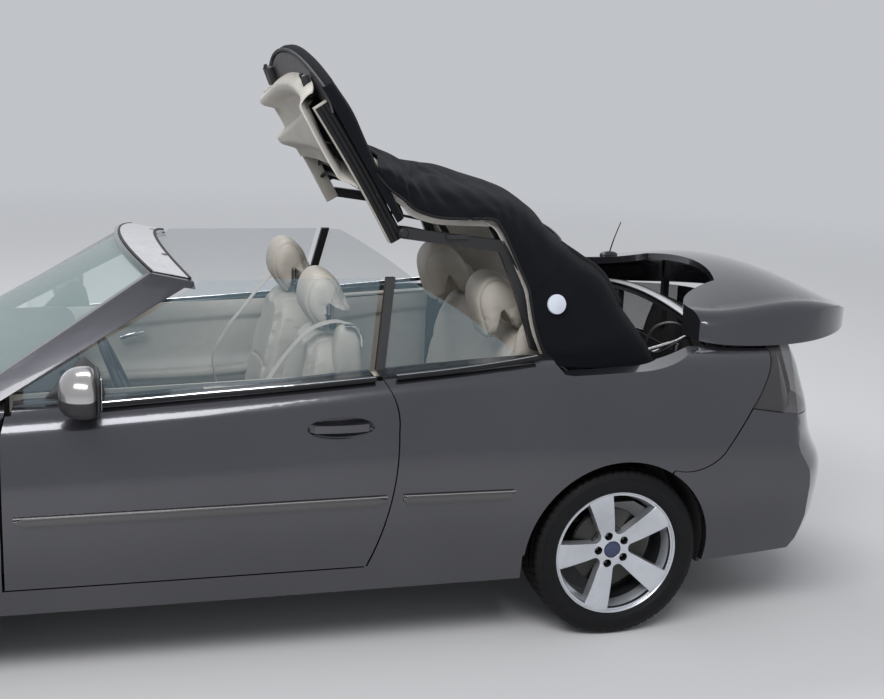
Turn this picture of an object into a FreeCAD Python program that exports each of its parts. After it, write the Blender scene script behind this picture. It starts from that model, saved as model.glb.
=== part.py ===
"""Two-door convertible car with its cloth roof half folded and its rear deck raised.

Millimetres. +X points to the tail, +Y to the car's right, +Z up.
The origin lies on the ground, midway between the nose and the raised deck's rear edge.
Left is the -Y side. Left pieces are drawn first and mirrored to the right.
"""
import FreeCAD
import Part
import math
import os

Vec = FreeCAD.Vector

# Driving dimensions: wheels and stance
WHEELBASE = 2675.0
REAR_AXLE_X = 1180.0
FRONT_AXLE_X = REAR_AXLE_X - WHEELBASE
FRONT_TRACK = 1524.0
REAR_TRACK = 1512.0
TYRE_RADIUS = 317.0
TYRE_WIDTH = 225.0
RIM_RADIUS = 234.0
RIM_WIDTH = 196.0
SPOKE_COUNT = 5
BOLT_CIRCLE_RADIUS = 55.0
ARCH_RADIUS = 361.0
ARCH_LIFT = -3.0
WHEELHOUSE_GAP = 14.0
KINGPIN_INSET = 28.0

# Driving dimensions: body
NOSE_X = -2430.0
TAIL_X = 2217.0
SILL_BOTTOM_Z = 246.0
SILL_TOP_Z = 336.0
SHUT_GAP = 5.0
PANEL_THICKNESS = 46.0
HOOD_THICKNESS = 34.0
FLOOR_Z = 205.0
FLOOR_THICKNESS = 18.0
GLASS_THICKNESS = 5.0
FIT = 0.4

# Stations of the body hull. Columns: x, then for the left flank the points of the section
# bottom (y, z), widest (y, z), shoulder (y, z), belt edge (y, z) and the height of the crown.
HULL = [
    (-2520, 660, 205, 735, 460, 700, 640, 590, 720, 750),
    (-2250, 720, 205, 798, 500, 762, 690, 650, 768, 812),
    (-1950, 785, 205, 850, 560, 810, 760, 695, 836, 878),
    (-1495, 822, 205, 880, 610, 838, 820, 722, 893, 940),
    (-954, 842, 235, 888, 620, 846, 850, 745, 924, 985),
    (0, 848, 240, 890, 620, 846, 905, 745, 975, 1030),
    (824, 848, 240, 889, 620, 838, 955, 735, 1032, 1078),
    (1180, 846, 240, 889, 625, 830, 960, 720, 1036, 1090),
    (1700, 810, 245, 862, 625, 790, 960, 690, 1036, 1095),
    (2050, 760, 270, 812, 610, 735, 945, 640, 1026, 1080),
    (2300, 700, 300, 750, 600, 675, 930, 585, 1015, 1065),
]


# How far the tail's outline, seen from above, lies forward of TAIL_X at each height.
TAIL_FORWARD = [
    (100, 300), (215, 235), (235, 150), (258, 96), (300, 60), (350, 36), (400, 17), (460, 8), (520, 0),
    (560, 0), (590, 5), (620, 20), (660, 44), (709, 64), (819, 88), (954, 138), (1000, 160), (1040, 185),
    (1300, 330),
]

# The hollow inside the hull reaches this much lower, so that the panels are open below.
INNER_DROP = 60.0

# Wheels: sizes
SPOKE_ROOT_HALF = 27.0
SPOKE_TIP_HALF = 48.0
SPOKE_DISH = 26.0
SPOKE_TURN = -18.5
HUB_RADIUS = 74.0
HUB_BORE_RADIUS = 22.0
STUB_RADIUS = HUB_BORE_RADIUS - FIT
DISC_RADIUS = 146.0
DISC_THICKNESS = 24.0
LUG_RADIUS = 13.0
RIM_FACE_INSET = 6.0
UPRIGHT_DEPTH = 150.0
ARM_TOP_Z = 196.0

# Structure under the panels: sizes
FRONT_WELL_INBOARD = 470.0
REAR_WELL_INBOARD = 600.0
LINER_BOTTOM_Z = 236.0
RAIL_BOTTOM_Z = 330.0
KICKUP_Z = 420.0
REAR_WALL_X = 1943.0
POST_TOP_Z = 880.0
STRUCTURE_HALF_WIDTH = 704.0
WIDE = (-1000.0, 1000.0)

# Openings and their hinges: sizes
HOOD_PIVOT_X = -1110.0
HOOD_PIVOT_Z = 864.0
HOOD_PIN_RADIUS = 7.0
ROOF_PIVOT_X = 1180.0
ROOF_PIVOT_Z = 1000.0
ROOF_PIN_RADIUS = 12.0
DOOR_FRONT_X = -954.0
DOOR_INNER_Y = 704.0
DOOR_STEP_Y = 800.0
DOOR_STEP = 18.0
DOOR_REAR_TOP = (281.0, 0.0)
DOOR_REAR_MID = (343.0, 820.0)
DOOR_REAR_LOW = (238.0, SILL_TOP_Z + SHUT_GAP)
DOOR_HINGE_X = DOOR_FRONT_X + 40.0
DOOR_HINGE_Y = 835.0
DOOR_PIN_RADIUS = 7.0
DOOR_HINGE_HEIGHTS = [(440.0, 500.0), (690.0, 750.0)]
HANDLE_X = 143.0
HANDLE_Z = 844.0

# Outer panels: sizes
HOOD_CORNER_X = -1160.0
HOOD_CENTRE_X = -1275.0
# Opening angles at which the hood's rear edge is trimmed clear of what lies behind it.
HOOD_CLEARING_ANGLES = (2.0, 4.5, 8.0, 13.0)
UPPER_GRILLE = (-390.0, 390.0, 618.0, 708.0)
LOWER_GRILLE = (-520.0, 520.0, 320.0, 430.0)
GRILLE_SLAT = 9.0
GRILLE_PITCH = 22.0
TOW_EYE_RADIUS = 9.0
JACK_PAD_X = (-820.0, 560.0)
PLATE_DEPTH = 26.0
PLATE_RECESS = (-265.0, 265.0, 822.0, 945.0)

# Glass and its frame: sizes
PILLAR_BASE = [(-1092, -738, 934), (-963, -744, 938), (-963, -702, 938), (-1092, -696, 934)]
PILLAR_TOP = [(-462, -585, 1328), (-318, -590, 1296), (-318, -548, 1296), (-462, -543, 1328)]
SCREEN_LOW = [(-1100, -712, 920), (-1238, 0, 957), (-1100, 712, 920)]
SCREEN_HIGH = [(-448, -560, 1312), (-536, 0, 1352), (-448, 560, 1312)]
SCREEN_NORMAL = (-0.52, 0.0, 0.86)
GLASS_FOOT = (-722.0, 985.0)
GLASS_TOP = (-604.0, 1303.0)

# Cabin: sizes
WHEEL_CENTRE = (-545.0, -370.0, 885.0)
WHEEL_TILT = 24.0
WHEEL_RING_RADIUS = 182.0
SHAFT_RADIUS = 12.0
SEAT_Y = 370.0

# Power train and tanks: sizes
PIPE_RADIUS = 24.0

# Deck: sizes
DECK = [
    (1500, 662, 1062, 640, 1128, 560, 1176, 1235),
    (1780, 700, 1044, 682, 1140, 610, 1182, 1250),
    (2060, 640, 1044, 628, 1146, 560, 1186, 1240),
    (2270, 560, 1052, 548, 1112, 480, 1130, 1152),
    (2500, 420, 1058, 412, 1064, 360, 1068, 1074),
]
DECK_TAIL_X = 2430.0
DECK_RIM_WIDTH = 34.0
DECK_THICKNESS = 26.0

# Roof: sizes
ROOF_HINGE_X = 406.0
ROOF_HINGE_Z = 1462.0
ROOF_FRONT_ANGLE = 120.5
ROOF_FRONT_LENGTH = 680.0
ROOF_FRONT_SIDE_LENGTH = 550.0
# Front panel sections: along, half width, rise of the crown and height of its lower face.
ROOF_FRONT_ARCHES = [(70, 606, 72, 4), (720, 560, 38, -10)]
ROOF_RAIL_Y = 590.0
ROOF_HINGE_PIN = 9.0
RAIL_WIDTH = 30.0
COVER = [
    (412, 1455, 628, 458, 1590, 520, 60), (600, 1440, 628, 650, 1590, 510, 50),
    (785, 1404, 630, 868, 1547, 505, 40), (858, 1280, 640, 1012, 1392, 540, 40),
    (886, 1150, 656, 1200, 1240, 530, 40), (922, 1046, 676, 1420, 960, 540, 30),
]
COVER_THICKNESS = 12.0


def arc_by_tangent(start, tangent, end):
    """Mid point of the arc that leaves start along tangent and reaches end, all (y, z)."""
    dy, dz = end[0] - start[0], end[1] - start[1]
    chord = math.hypot(dy, dz)
    turn = 2 * (math.atan2(dz, dy) - math.atan2(tangent[1], tangent[0]))
    turn = (turn + math.pi) % (2 * math.pi) - math.pi
    sag = chord / 2 * math.tan(turn / 4)
    return (start[0] + dy / 2 + dz / chord * sag, start[1] + dz / 2 - dy / chord * sag)


def arc_end_tangent(start, tangent, end):
    """Direction in which that arc arrives at its end."""
    chord = math.atan2(end[1] - start[1], end[0] - start[0])
    angle = 2 * chord - math.atan2(tangent[1], tangent[0])
    return (math.cos(angle), math.sin(angle))


def arc(a, b, c):
    return Part.Arc(Vec(*a), Vec(*b), Vec(*c)).toShape()


def line(a, b):
    return Part.LineSegment(Vec(*a), Vec(*b)).toShape()


def hull_section(row, side_inset=0.0, top_inset=0.0):
    """One closed section of the hull: a bottom line, three arcs up each flank and a crown arc."""
    x, yb, zb, ym, zm, yh, zh, ys, zs, zc = row
    yb, ym, yh, ys = (y - side_inset for y in (yb, ym, yh, ys))
    zh, zs, zc = zh - top_inset, zs - top_inset, zc - top_inset
    zb = zb - (INNER_DROP if side_inset else 0.0)
    up = (0.0, 1.0)
    low_mid = arc_by_tangent((-ym, zm), (0.0, -1.0), (-yb, zb))
    side_mid = arc_by_tangent((-ym, zm), up, (-yh, zh))
    side_end = arc_end_tangent((-ym, zm), up, (-yh, zh))
    shoulder_mid = arc_by_tangent((-yh, zh), side_end, (-ys, zs))
    left = [(-yb, zb), low_mid, (-ym, zm), side_mid, (-yh, zh), shoulder_mid, (-ys, zs)]
    left = [(x, y, z) for y, z in left]
    right = [(x, -y, z) for _, y, z in left]
    edges = [line(right[0], left[0])]
    edges += [arc(left[i], left[i + 1], left[i + 2]) for i in (0, 2, 4)]
    edges.append(arc(left[6], (x, 0, zc), right[6]))
    edges += [arc(right[i + 2], right[i + 1], right[i]) for i in (4, 2, 0)]
    return Part.Wire(edges)


def hull(side_inset=0.0, top_inset=0.0):
    """The outer body as one closed loft, trimmed by the plan and side outlines."""
    body = Part.makeLoft([hull_section(r, side_inset, top_inset) for r in HULL], True, False)
    return body.common(plan_prism(side_inset)).common(side_prism(side_inset))


def plan_wire(z, inset, forward):
    """Nose and tail outline seen from above, with the tail moved forward by that much."""
    nose, tail = NOSE_X + inset, TAIL_X - inset - forward
    front = [(nose + 560, 960), (nose + 150, 720), (nose + 62, 460), (nose, 0)]
    rear = [(tail - 560, 960), (tail - 118, 660), (tail - 52, 420), (tail, 0)]

    def at(p, sign):
        return (p[0], sign * (p[1] - (inset if 0 < p[1] < 900 else 0)), z)

    edges = [arc(at(front[0], -1), at(front[1], -1), at(front[2], -1)),
             arc(at(front[2], -1), at(front[3], 1), at(front[2], 1)),
             arc(at(front[2], 1), at(front[1], 1), at(front[0], 1)),
             line(at(front[0], 1), at(rear[0], 1)),
             arc(at(rear[0], 1), at(rear[1], 1), at(rear[2], 1)),
             arc(at(rear[2], 1), at(rear[3], 1), at(rear[2], -1)),
             arc(at(rear[2], -1), at(rear[1], -1), at(rear[0], -1)),
             line(at(rear[0], -1), at(front[0], -1))]
    return Part.Wire(edges)


def plan_prism(inset=0.0):
    """The body seen from above: rounded nose, and a tail that bulges at the bumper's height."""
    return loft([plan_wire(z, inset, forward) for z, forward in TAIL_FORWARD])


def tail_x(z):
    """The tail's middle line at height z."""
    for (z0, f0), (z1, f1) in zip(TAIL_FORWARD, TAIL_FORWARD[1:]):
        if z0 <= z <= z1:
            return TAIL_X - f0 - (f1 - f0) * (z - z0) / (z1 - z0)
    raise ValueError(z)


def side_prism(inset=0.0):
    """The body seen from the side: upright nose that rolls into the hood, and a level underside."""
    nose, tail, y = NOSE_X + inset, TAIL_X + 40.0, -1000.0
    pts = {
        "nose_low": (nose + 55, 205), "nose_mid": (nose, 430), "nose_high": (nose + 28, 620),
        "lip_mid": (nose + 52, 690), "lip": (nose + 118, 740), "top_front": (nose + 150, 1300),
        "top_rear": (tail, 1300), "tail_foot": (tail, 268), "floor_rear": (1500, 256),
        "floor_mid": (1100, 235), "floor_front": (NOSE_X + 700, 190),
    }
    drop = INNER_DROP if inset else 0.0
    pts["nose_foot"] = (pts["nose_low"][0], pts["nose_low"][1] - drop)
    for key in ("tail_foot", "floor_rear", "floor_mid", "floor_front"):
        pts[key] = (pts[key][0], pts[key][1] - drop)
    p = {k: (v[0], y, v[1]) for k, v in pts.items()}
    edges = [
        arc(p["nose_low"], p["nose_mid"], p["nose_high"]),
        arc(p["nose_high"], p["lip_mid"], p["lip"]),
        line(p["lip"], p["top_front"]),
        line(p["top_front"], p["top_rear"]),
        line(p["top_rear"], p["tail_foot"]),
        line(p["tail_foot"], p["floor_rear"]),
        line(p["floor_rear"], p["floor_mid"]),
        line(p["floor_mid"], p["floor_front"]),
        line(p["floor_front"], p["nose_foot"]),
    ]
    if drop:
        edges.append(line(p["nose_foot"], p["nose_low"]))
    return Part.Face(Part.Wire(edges)).extrude(Vec(0, 2000, 0))


def belt_z(x):
    """Height of the belt edge at x, straight between the hull's stations."""
    for a, b in zip(HULL, HULL[1:]):
        if a[0] <= x <= b[0]:
            return a[8] + (b[8] - a[8]) * (x - a[0]) / (b[0] - a[0])
    raise ValueError("no hull station at x = %g" % x)


def outline(parts, place, along):
    """Prism of an outline. Each part is a point (u, v), or (mid, end) for an arc; place puts it in space."""
    edges, here = [], parts[0]
    for p in parts[1:] + [parts[0]]:
        if isinstance(p[0], tuple):
            edges.append(arc(place(here), place(p[0]), place(p[1])))
            here = p[1]
        elif math.hypot(p[0] - here[0], p[1] - here[1]) > 0.01:
            edges.append(line(place(here), place(p)))
            here = p
    return Part.Face(Part.Wire(edges)).extrude(Vec(*along))


def outline_xz(parts, y0, y1):
    return outline(parts, lambda p: (p[0], y0, p[1]), (0, y1 - y0, 0))


def outline_xy(parts, z0, z1):
    return outline(parts, lambda p: (p[0], p[1], z0), (0, 0, z1 - z0))


def outline_yz(parts, x0, x1):
    return outline(parts, lambda p: (x0, p[0], p[1]), (x1 - x0, 0, 0))


def box(x0, x1, y0, y1, z0, z1):
    return Part.makeBox(x1 - x0, y1 - y0, z1 - z0, Vec(x0, y0, z0))


def rod(a, b, r):
    d = Vec(*b) - Vec(*a)
    return Part.makeCylinder(r, d.Length, Vec(*a), d)


def bar(a, b, width, height, up=(0, 0, 1)):
    """Rectangular bar from a to b, width across and height towards up."""
    a, b, up = Vec(*a), Vec(*b), Vec(*up)
    d = b - a
    side = d.cross(up).normalize() * (width / 2)
    lift = side.cross(d).normalize() * (height / 2)
    pts = [a - side - lift, a + side - lift, a + side + lift, a - side + lift]
    return Part.Face(Part.makePolygon(pts + [pts[0]])).extrude(d)


def mirrored(shape):
    return shape.mirror(Vec(0, 0, 0), Vec(0, 1, 0))


def both(shape):
    """The left shape and its right mirror as two separate solids of one node."""
    return Part.makeCompound(shape.Solids + mirrored(shape).Solids)


def fused(shapes):
    out = shapes[0].fuse(shapes[1:]) if len(shapes) > 1 else shapes[0]
    return out.removeSplitter()


def fused_apart(shapes):
    """Several separate solids in one shape."""
    return Part.makeCompound([solid for shape in shapes for solid in shape.Solids if solid.Volume > 1000])


def drum(x, z, r, y0, y1):
    return Part.makeCylinder(r, y1 - y0, Vec(x, y0, z), Vec(0, 1, 0))


def loft(wires, ruled=True):
    return Part.makeLoft(wires, True, ruled)


def largest(shape):
    """The biggest solid that a cut left."""
    return max(shape.Solids, key=lambda solid: solid.Volume)


def polygon(points):
    return Part.makePolygon([Vec(*p) for p in points] + [Vec(*points[0])])


# Wheels


def tyre(x, track, side):
    """Revolved tyre: bead, bulged sidewall, rounded shoulder and flat tread."""
    half, bead = TYRE_WIDTH / 2, RIM_RADIUS - 16.0
    tread = TYRE_RADIUS
    pts = {
        "bead": (bead, RIM_WIDTH / 2 - 10.4), "lip": (RIM_RADIUS + 1, RIM_WIDTH / 2 - 10.4),
        "foot": (RIM_RADIUS + 1, RIM_WIDTH / 2 + 1), "wall_mid": (bead + 52, half),
        "shoulder": (tread - 22, half - 7),
        "shoulder_mid": (tread - 5, half - 15), "tread": (tread, half - 30), "inner": (bead + 12, half - 36),
    }

    def at(key, sign):
        r, y = pts[key]
        return (x, side * track / 2 + sign * y, TYRE_RADIUS + r)

    edges = [
        line(at("bead", -1), at("lip", -1)),
        line(at("lip", -1), at("foot", -1)),
        arc(at("foot", -1), at("wall_mid", -1), at("shoulder", -1)),
        arc(at("shoulder", -1), at("shoulder_mid", -1), at("tread", -1)),
        line(at("tread", -1), at("tread", 1)),
        arc(at("tread", 1), at("shoulder_mid", 1), at("shoulder", 1)),
        arc(at("shoulder", 1), at("wall_mid", 1), at("foot", 1)),
        line(at("foot", 1), at("lip", 1)),
        line(at("lip", 1), at("bead", 1)),
        line(at("bead", 1), at("inner", 1)),
        line(at("inner", 1), at("inner", -1)),
        line(at("inner", -1), at("bead", -1)),
    ]
    face = Part.Face(Part.Wire(edges))
    return face.revolve(Vec(x, 0, TYRE_RADIUS), Vec(0, 1, 0), 360)


def rim_face_y(track):
    """Distance from the car's middle to the outer face of the spokes."""
    return track / 2 + RIM_WIDTH / 2 - RIM_FACE_INSET


def ring_profile(x, centre, side, z):
    """Rim: two flanges, two bead seats and a thin barrel."""
    half, seat = RIM_WIDTH / 2, RIM_RADIUS - 16.0 - FIT
    profile = [
        (RIM_RADIUS, half), (RIM_RADIUS, half - 7), (seat, half - 10), (seat, -half + 10),
        (RIM_RADIUS - 3, -half + 7), (RIM_RADIUS - 3, -half), (seat - 12, -half), (seat - 12, half - 22),
        (RIM_RADIUS - 14, half - 3),
    ]
    ring = [Vec(x, centre + side * w, z + r) for r, w in profile]
    return Part.Face(Part.makePolygon(ring + [ring[0]])).revolve(Vec(x, 0, z), Vec(0, 1, 0), 360)


def spoke(x, z, side, face_y, turn):
    """One broad spoke, dished towards the hub."""
    root, tip, back = HUB_RADIUS - 24, RIM_RADIUS - 20.0, face_y - side * 44
    near, far = SPOKE_ROOT_HALF, SPOKE_TIP_HALF
    outline = [(-near, root), (near, root), (far, tip), (-far, tip)]
    wedge = Part.Face(polygon([(x + u, back, z + r) for u, r in outline]))
    cone = [(root - 30, face_y - side * SPOKE_DISH), (tip + 20, face_y), (tip + 20, back), (root - 30, back)]
    cone = Part.Face(polygon([(x, y, z + r) for r, y in cone])).revolve(Vec(x, 0, z), Vec(0, 1, 0), 360)
    inside_rim = drum(x, z, tip + 2, *sorted((back, face_y)))
    blade = wedge.extrude(Vec(0, side * 60, 0)).common(cone).common(inside_rim)
    blade.rotate(Vec(x, 0, z), Vec(0, 1, 0), turn)
    return blade


def road_wheel(x, track, side):
    """Five-spoke alloy wheel with its brake disc and hub, all turning together."""
    z, face_y = TYRE_RADIUS, side * rim_face_y(track)
    depth = lambda near, far: sorted((face_y - side * near, face_y - side * far))
    pieces = [ring_profile(x, side * track / 2, side, z)]
    pieces += [spoke(x, z, side, face_y, 360.0 * i / SPOKE_COUNT + SPOKE_TURN) for i in range(SPOKE_COUNT)]
    pieces.append(drum(x, z, HUB_RADIUS, *depth(56, SPOKE_DISH + 2)))
    pieces.append(drum(x, z, 78.0, *depth(92, 56)))
    pieces.append(drum(x, z, DISC_RADIUS, *depth(92, 92 - DISC_THICKNESS)))
    wheel = pieces[0].fuse(pieces[1:])
    cuts = [drum(x, z, HUB_BORE_RADIUS, *depth(180, 70))]
    for i in range(SPOKE_COUNT):
        a = math.radians(360.0 * i / SPOKE_COUNT + SPOKE_TURN)
        lx, lz = x + BOLT_CIRCLE_RADIUS * math.sin(a), z + BOLT_CIRCLE_RADIUS * math.cos(a)
        cuts.append(drum(lx, lz, LUG_RADIUS, *depth(46, -20)))
    return wheel.cut(cuts)


def stub_axle(x, track, side):
    """Short spindle that fits the hub's bore from inboard."""
    face_y = side * rim_face_y(track)
    return drum(x, TYRE_RADIUS, STUB_RADIUS, *sorted((face_y - side * UPRIGHT_DEPTH, face_y - side * 72)))


def knuckle(side):
    """Front steering knuckle: stub axle, upright, brake caliper and ball joint boss."""
    x, z = FRONT_AXLE_X, TYRE_RADIUS
    face_y = side * rim_face_y(FRONT_TRACK)
    inner = face_y - side * UPRIGHT_DEPTH
    upright = outline_xz(
        [(x - 45, z - 95), (x + 45, z - 95), ((x + 58, z), (x + 30, z + 90)), (x - 30, z + 90),
         ((x - 58, z), (x - 45, z - 95))], *sorted((inner, inner + side * 46)))
    caliper = outline_xz(
        [(x + 40, z - 70), (x + 110, z - 82), ((x + 165, z), (x + 110, z + 82)), (x + 40, z + 62),
         (x + 62, z)], *sorted((inner + side * 4, face_y - side * 98)))
    king_y = side * (FRONT_TRACK / 2 - KINGPIN_INSET)
    boss = rod((x, king_y, ARM_TOP_Z + FIT), (x, king_y, z - 60), 16.0)
    return fused([stub_axle(x, FRONT_TRACK, side), upright, caliper, boss])


def front_subframe():
    """Crossmember with two lower arms that end under the knuckles, and a steering rack."""
    x, z = FRONT_AXLE_X, ARM_TOP_Z
    beam = outline_xy(
        [(x - 90, -300), (x + 120, -330), (x + 200, 0), (x + 120, 330), (x - 90, 300)], z - 40, z + 14)
    king_y = FRONT_TRACK / 2 - KINGPIN_INSET
    arm = outline_xy(
        [(x - 26, -king_y), ((x, -king_y - 22), (x + 26, -king_y)), (x + 90, -300), (x - 60, -290)],
        z - 22, z)
    rack = rod((x + 140, -400, z + 46), (x + 140, 400, z + 46), 22.0)
    mount = box(x + 110, x + 170, -40, 40, z, z + 40)
    posts = [box(x - 60, x + 60, s * 400 - 22, s * 400 + 22, z - 30, RAIL_BOTTOM_Z) for s in (-1, 1)]
    return fused([beam, arm, mirrored(arm), rack, mount] + posts)


def rear_axle():
    """Rear crossmember, trailing arms, hub carriers with stub axles, links and springs."""
    x, z = REAR_AXLE_X, TYRE_RADIUS
    inner = rim_face_y(REAR_TRACK) - UPRIGHT_DEPTH
    carrier = drum(x, z, 60.0, -inner, -inner + 66)
    arm = outline_xz(
        [(x - 330, z - 56), (x, z - 50), ((x + 50, z), (x, z + 50)), (x - 330, z - 22)],
        -inner + 66, -inner + 90)
    link = box(x + 10, x + 90, -inner + 30, -240, z - 55, z - 17)
    spring = rod((x + 50, -520, z - 30), (x + 50, -520, KICKUP_Z), 44.0)
    half = fused([stub_axle(x, REAR_TRACK, -1), carrier, arm, link, spring])
    beam = box(x - 90, x + 90, -250, 250, z - 60, z + 10)
    return fused([half, mirrored(half), beam])


# Structure under the panels


def all_arches(grow=0.0):
    """Free spaces for the four wheels, out through the flanks."""
    cuts = []
    for x, inboard in ((FRONT_AXLE_X, FRONT_WELL_INBOARD), (REAR_AXLE_X, REAR_WELL_INBOARD)):
        for side in (-1, 1):
            y = sorted((side * (inboard - grow), side * 1000))
            cuts.append(drum(x, TYRE_RADIUS + ARCH_LIFT, ARCH_RADIUS + grow, *y))
    return cuts


def floor_sheet():
    """Firewall, floor, kick-up over the rear axle, boot floor and rear wall, one bent sheet."""
    low = [
        (-1190, 848), (-1150, 420), (-1020, 230), (-960, FLOOR_Z), (620, FLOOR_Z), (700, 330), (1000, 345),
        (1180, KICKUP_Z), (1350, KICKUP_Z), (1500, 330), (REAR_WALL_X - 38, 330), (REAR_WALL_X, 400),
        (REAR_WALL_X, 1000),
    ]
    t = FLOOR_THICKNESS
    high = [
        (-1190 + t, 848), (-1150 + t, 420 + t / 2), (-1020 + t / 2, 230 + t), (-960, FLOOR_Z + t),
        (620 - t / 2, FLOOR_Z + t), (700 - t / 2, 330 + t), (1000, 345 + t), (1180 - t / 3, KICKUP_Z + t),
        (1350 + t / 3, KICKUP_Z + t), (1500 + t / 3, 330 + t), (REAR_WALL_X - 38 - t / 2, 330 + t),
        (REAR_WALL_X - t, 400), (REAR_WALL_X - t, 1000),
    ]
    return outline_xz(low + high[::-1], -STRUCTURE_HALF_WIDTH, STRUCTURE_HALF_WIDTH)


def wheelhouses(inner):
    """Liners that follow the wheel arches inside the panels, with their inboard walls."""
    above = box(-2600, 2600, -1000, 1000, LINER_BOTTOM_Z, 1200)
    shells = []
    for space, shell in zip(all_arches(), all_arches(WHEELHOUSE_GAP)):
        shells.append(shell.cut(space).common(above))
    low_rear = box(REAR_AXLE_X - 300, REAR_AXLE_X + 300, -640, 640, 0, KICKUP_Z - 20)
    wide = STRUCTURE_HALF_WIDTH
    over_sill = [box(FRONT_AXLE_X + 100, REAR_AXLE_X - 100, *sorted((s * wide, s * 1000)), 0, SILL_TOP_Z)
                 for s in (-1, 1)]
    return [s.common(inner).cut([low_rear] + over_sill) for s in shells]


def underbody(inner):
    """Floor, side rails, front rails, door posts and the walls that carry the lamps."""
    sheet = floor_sheet()
    behind = box(1400, 2600, *WIDE, 0, 1300)
    sheet = sheet.cut(behind).fuse(sheet.common(behind).common(inner))
    sheet = sheet.cut(all_arches())
    side_rail = box(-1010, 640, -STRUCTURE_HALF_WIDTH, -640, FLOOR_Z + 4, 300)
    front_rail = box(-2262, -1090, -440, -380, RAIL_BOTTOM_Z, 420)
    rear_rail = box(1480, REAR_WALL_X - 40, -560, -500, 300, 340)
    bolster = box(-2262, -2240, -820, 820, 230, 722).cut(box(-2300, -2200, -330, 330, 300, 640))
    post = box(-1124, -985, -770, -STRUCTURE_HALF_WIDTH, SILL_TOP_Z + FIT, POST_TOP_Z)
    post = post.fuse(box(-1060, -985, -STRUCTURE_HALF_WIDTH, -640, 209, 360)).common(inner)
    post = post.cut(all_arches())
    cowl_prop = box(-1264, -1172, -180, 180, 830, 940).common(inner)
    foot = box(1110, 1250, -240, 240, TYRE_RADIUS + 10, KICKUP_Z + 8)
    wall = REAR_WALL_X
    rear_wall = box(wall - 18, wall, -840, 840, 330, 1000).cut(box(wall - 20, wall, -560, 560, 300, 345))
    rear_rib = box(wall - 18, 2160, -60, 60, 850, 930)
    pieces = [sheet, bolster.common(inner), cowl_prop, foot, rear_wall.common(inner), rear_rib.common(inner)]
    for half in (side_rail, front_rail, rear_rail, post):
        pieces += [half, mirrored(half)]
    shell = pieces[0].fuse(pieces[1:])
    pins = [rod((HOOD_PIVOT_X, s * 640, HOOD_PIVOT_Z), (HOOD_PIVOT_X, s * 706, HOOD_PIVOT_Z), HOOD_PIN_RADIUS)
            for s in (-1, 1)]
    hinges = door_hinge_arms()
    return shell.fuse(pins + hinges + [mirrored(h) for h in hinges]).removeSplitter()


# Openings and their hinges


def door_hinge_arms():
    """Body half of the two left hinges: an arm from the front post to a bored eye."""
    arms, x, y = [], DOOR_HINGE_X, -DOOR_HINGE_Y
    for z0, z1 in DOOR_HINGE_HEIGHTS:
        z0, z1 = z0 + 12, z1 - 12
        eye = Part.makeCylinder(16, z1 - z0, Vec(x, y, z0))
        blade = outline_xy(
            [(x - 12, y + 2), (x + 8, y + 10), (x - 36, y + 88), (x - 78, y + 100), (x - 78, y + 78),
             (x - 52, y + 72)], z0, z1)
        bore = Part.makeCylinder(DOOR_PIN_RADIUS + FIT, 200, Vec(x, y, z0 - 50))
        arms.append(eye.fuse(blade).cut(bore))
    return arms


def door_outline(grow=0.0, top=30.0):
    """Door shut line in side view. grow moves it outwards all round."""
    g = grow
    top_front, top_rear = belt_z(DOOR_FRONT_X + 30) + top, belt_z(DOOR_REAR_TOP[0]) + top
    return [
        (DOOR_FRONT_X - g, DOOR_REAR_LOW[1] - g), (DOOR_FRONT_X - g, 850.0),
        (DOOR_FRONT_X + 30 - g, top_front), (DOOR_REAR_TOP[0] - 20 + g, top_rear),
        ((336.0 + g, 912.0), (DOOR_REAR_MID[0] + g, DOOR_REAR_MID[1])),
        ((320.0 + g, 590.0), (DOOR_REAR_LOW[0] + g, DOOR_REAR_LOW[1] - g)),
    ]


def left_door(outer):
    """Whole door: skin to trim, stepped at its edge, with handle, hinge pockets and pins."""
    skin = outer.common(outline_xz(door_outline(), -1000, -DOOR_STEP_Y))
    trim = outer.common(outline_xz(door_outline(-DOOR_STEP), -DOOR_STEP_Y, -DOOR_INNER_Y))
    door = skin.fuse(trim)
    x, y = DOOR_HINGE_X, -DOOR_HINGE_Y
    pockets = [box(x - 60, x + 22, y - 20, y + 92, z0, z1) for z0, z1 in DOOR_HINGE_HEIGHTS]
    cup = ellipsoid((HANDLE_X, -868, HANDLE_Z), (118, 20, 40))
    door = door.cut(pockets + [cup])
    pins = [Part.makeCylinder(DOOR_PIN_RADIUS, z1 - z0 + 20, Vec(x, y, z0 - 10))
            for z0, z1 in DOOR_HINGE_HEIGHTS]
    grip = outline_xy(
        [(HANDLE_X - 112, -858), (HANDLE_X - 92, -884), ((HANDLE_X, -892), (HANDLE_X + 92, -884)),
         (HANDLE_X + 112, -858), (HANDLE_X + 84, -862), ((HANDLE_X, -878), (HANDLE_X - 84, -862))],
        HANDLE_Z - 13, HANDLE_Z + 13)
    return door.fuse(pins + [grip]).removeSplitter()


def ellipsoid(centre, radii):
    ball = Part.makeSphere(1.0)
    m = FreeCAD.Matrix()
    m.scale(*radii)
    ball = ball.transformGeometry(m)
    ball.translate(Vec(*centre))
    return ball


def fender_relief():
    """Space behind the fender that the door's front edge swings into."""
    heights = [(225, 848), (420, 878), (620, 892), (760, 880), (850, 850), (905, 838)]
    edge = [(math.hypot(40, y - DOOR_HINGE_Y) + SHUT_GAP, z) for z, y in heights]
    pts = [(0, heights[0][0])] + edge + [(0, heights[-1][0])]
    face = polygon([(DOOR_HINGE_X + r, -DOOR_HINGE_Y, z) for r, z in pts])
    return Part.Face(face).revolve(Vec(DOOR_HINGE_X, -DOOR_HINGE_Y, 0), Vec(0, 0, 1), 360)


# Outer panels


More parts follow.
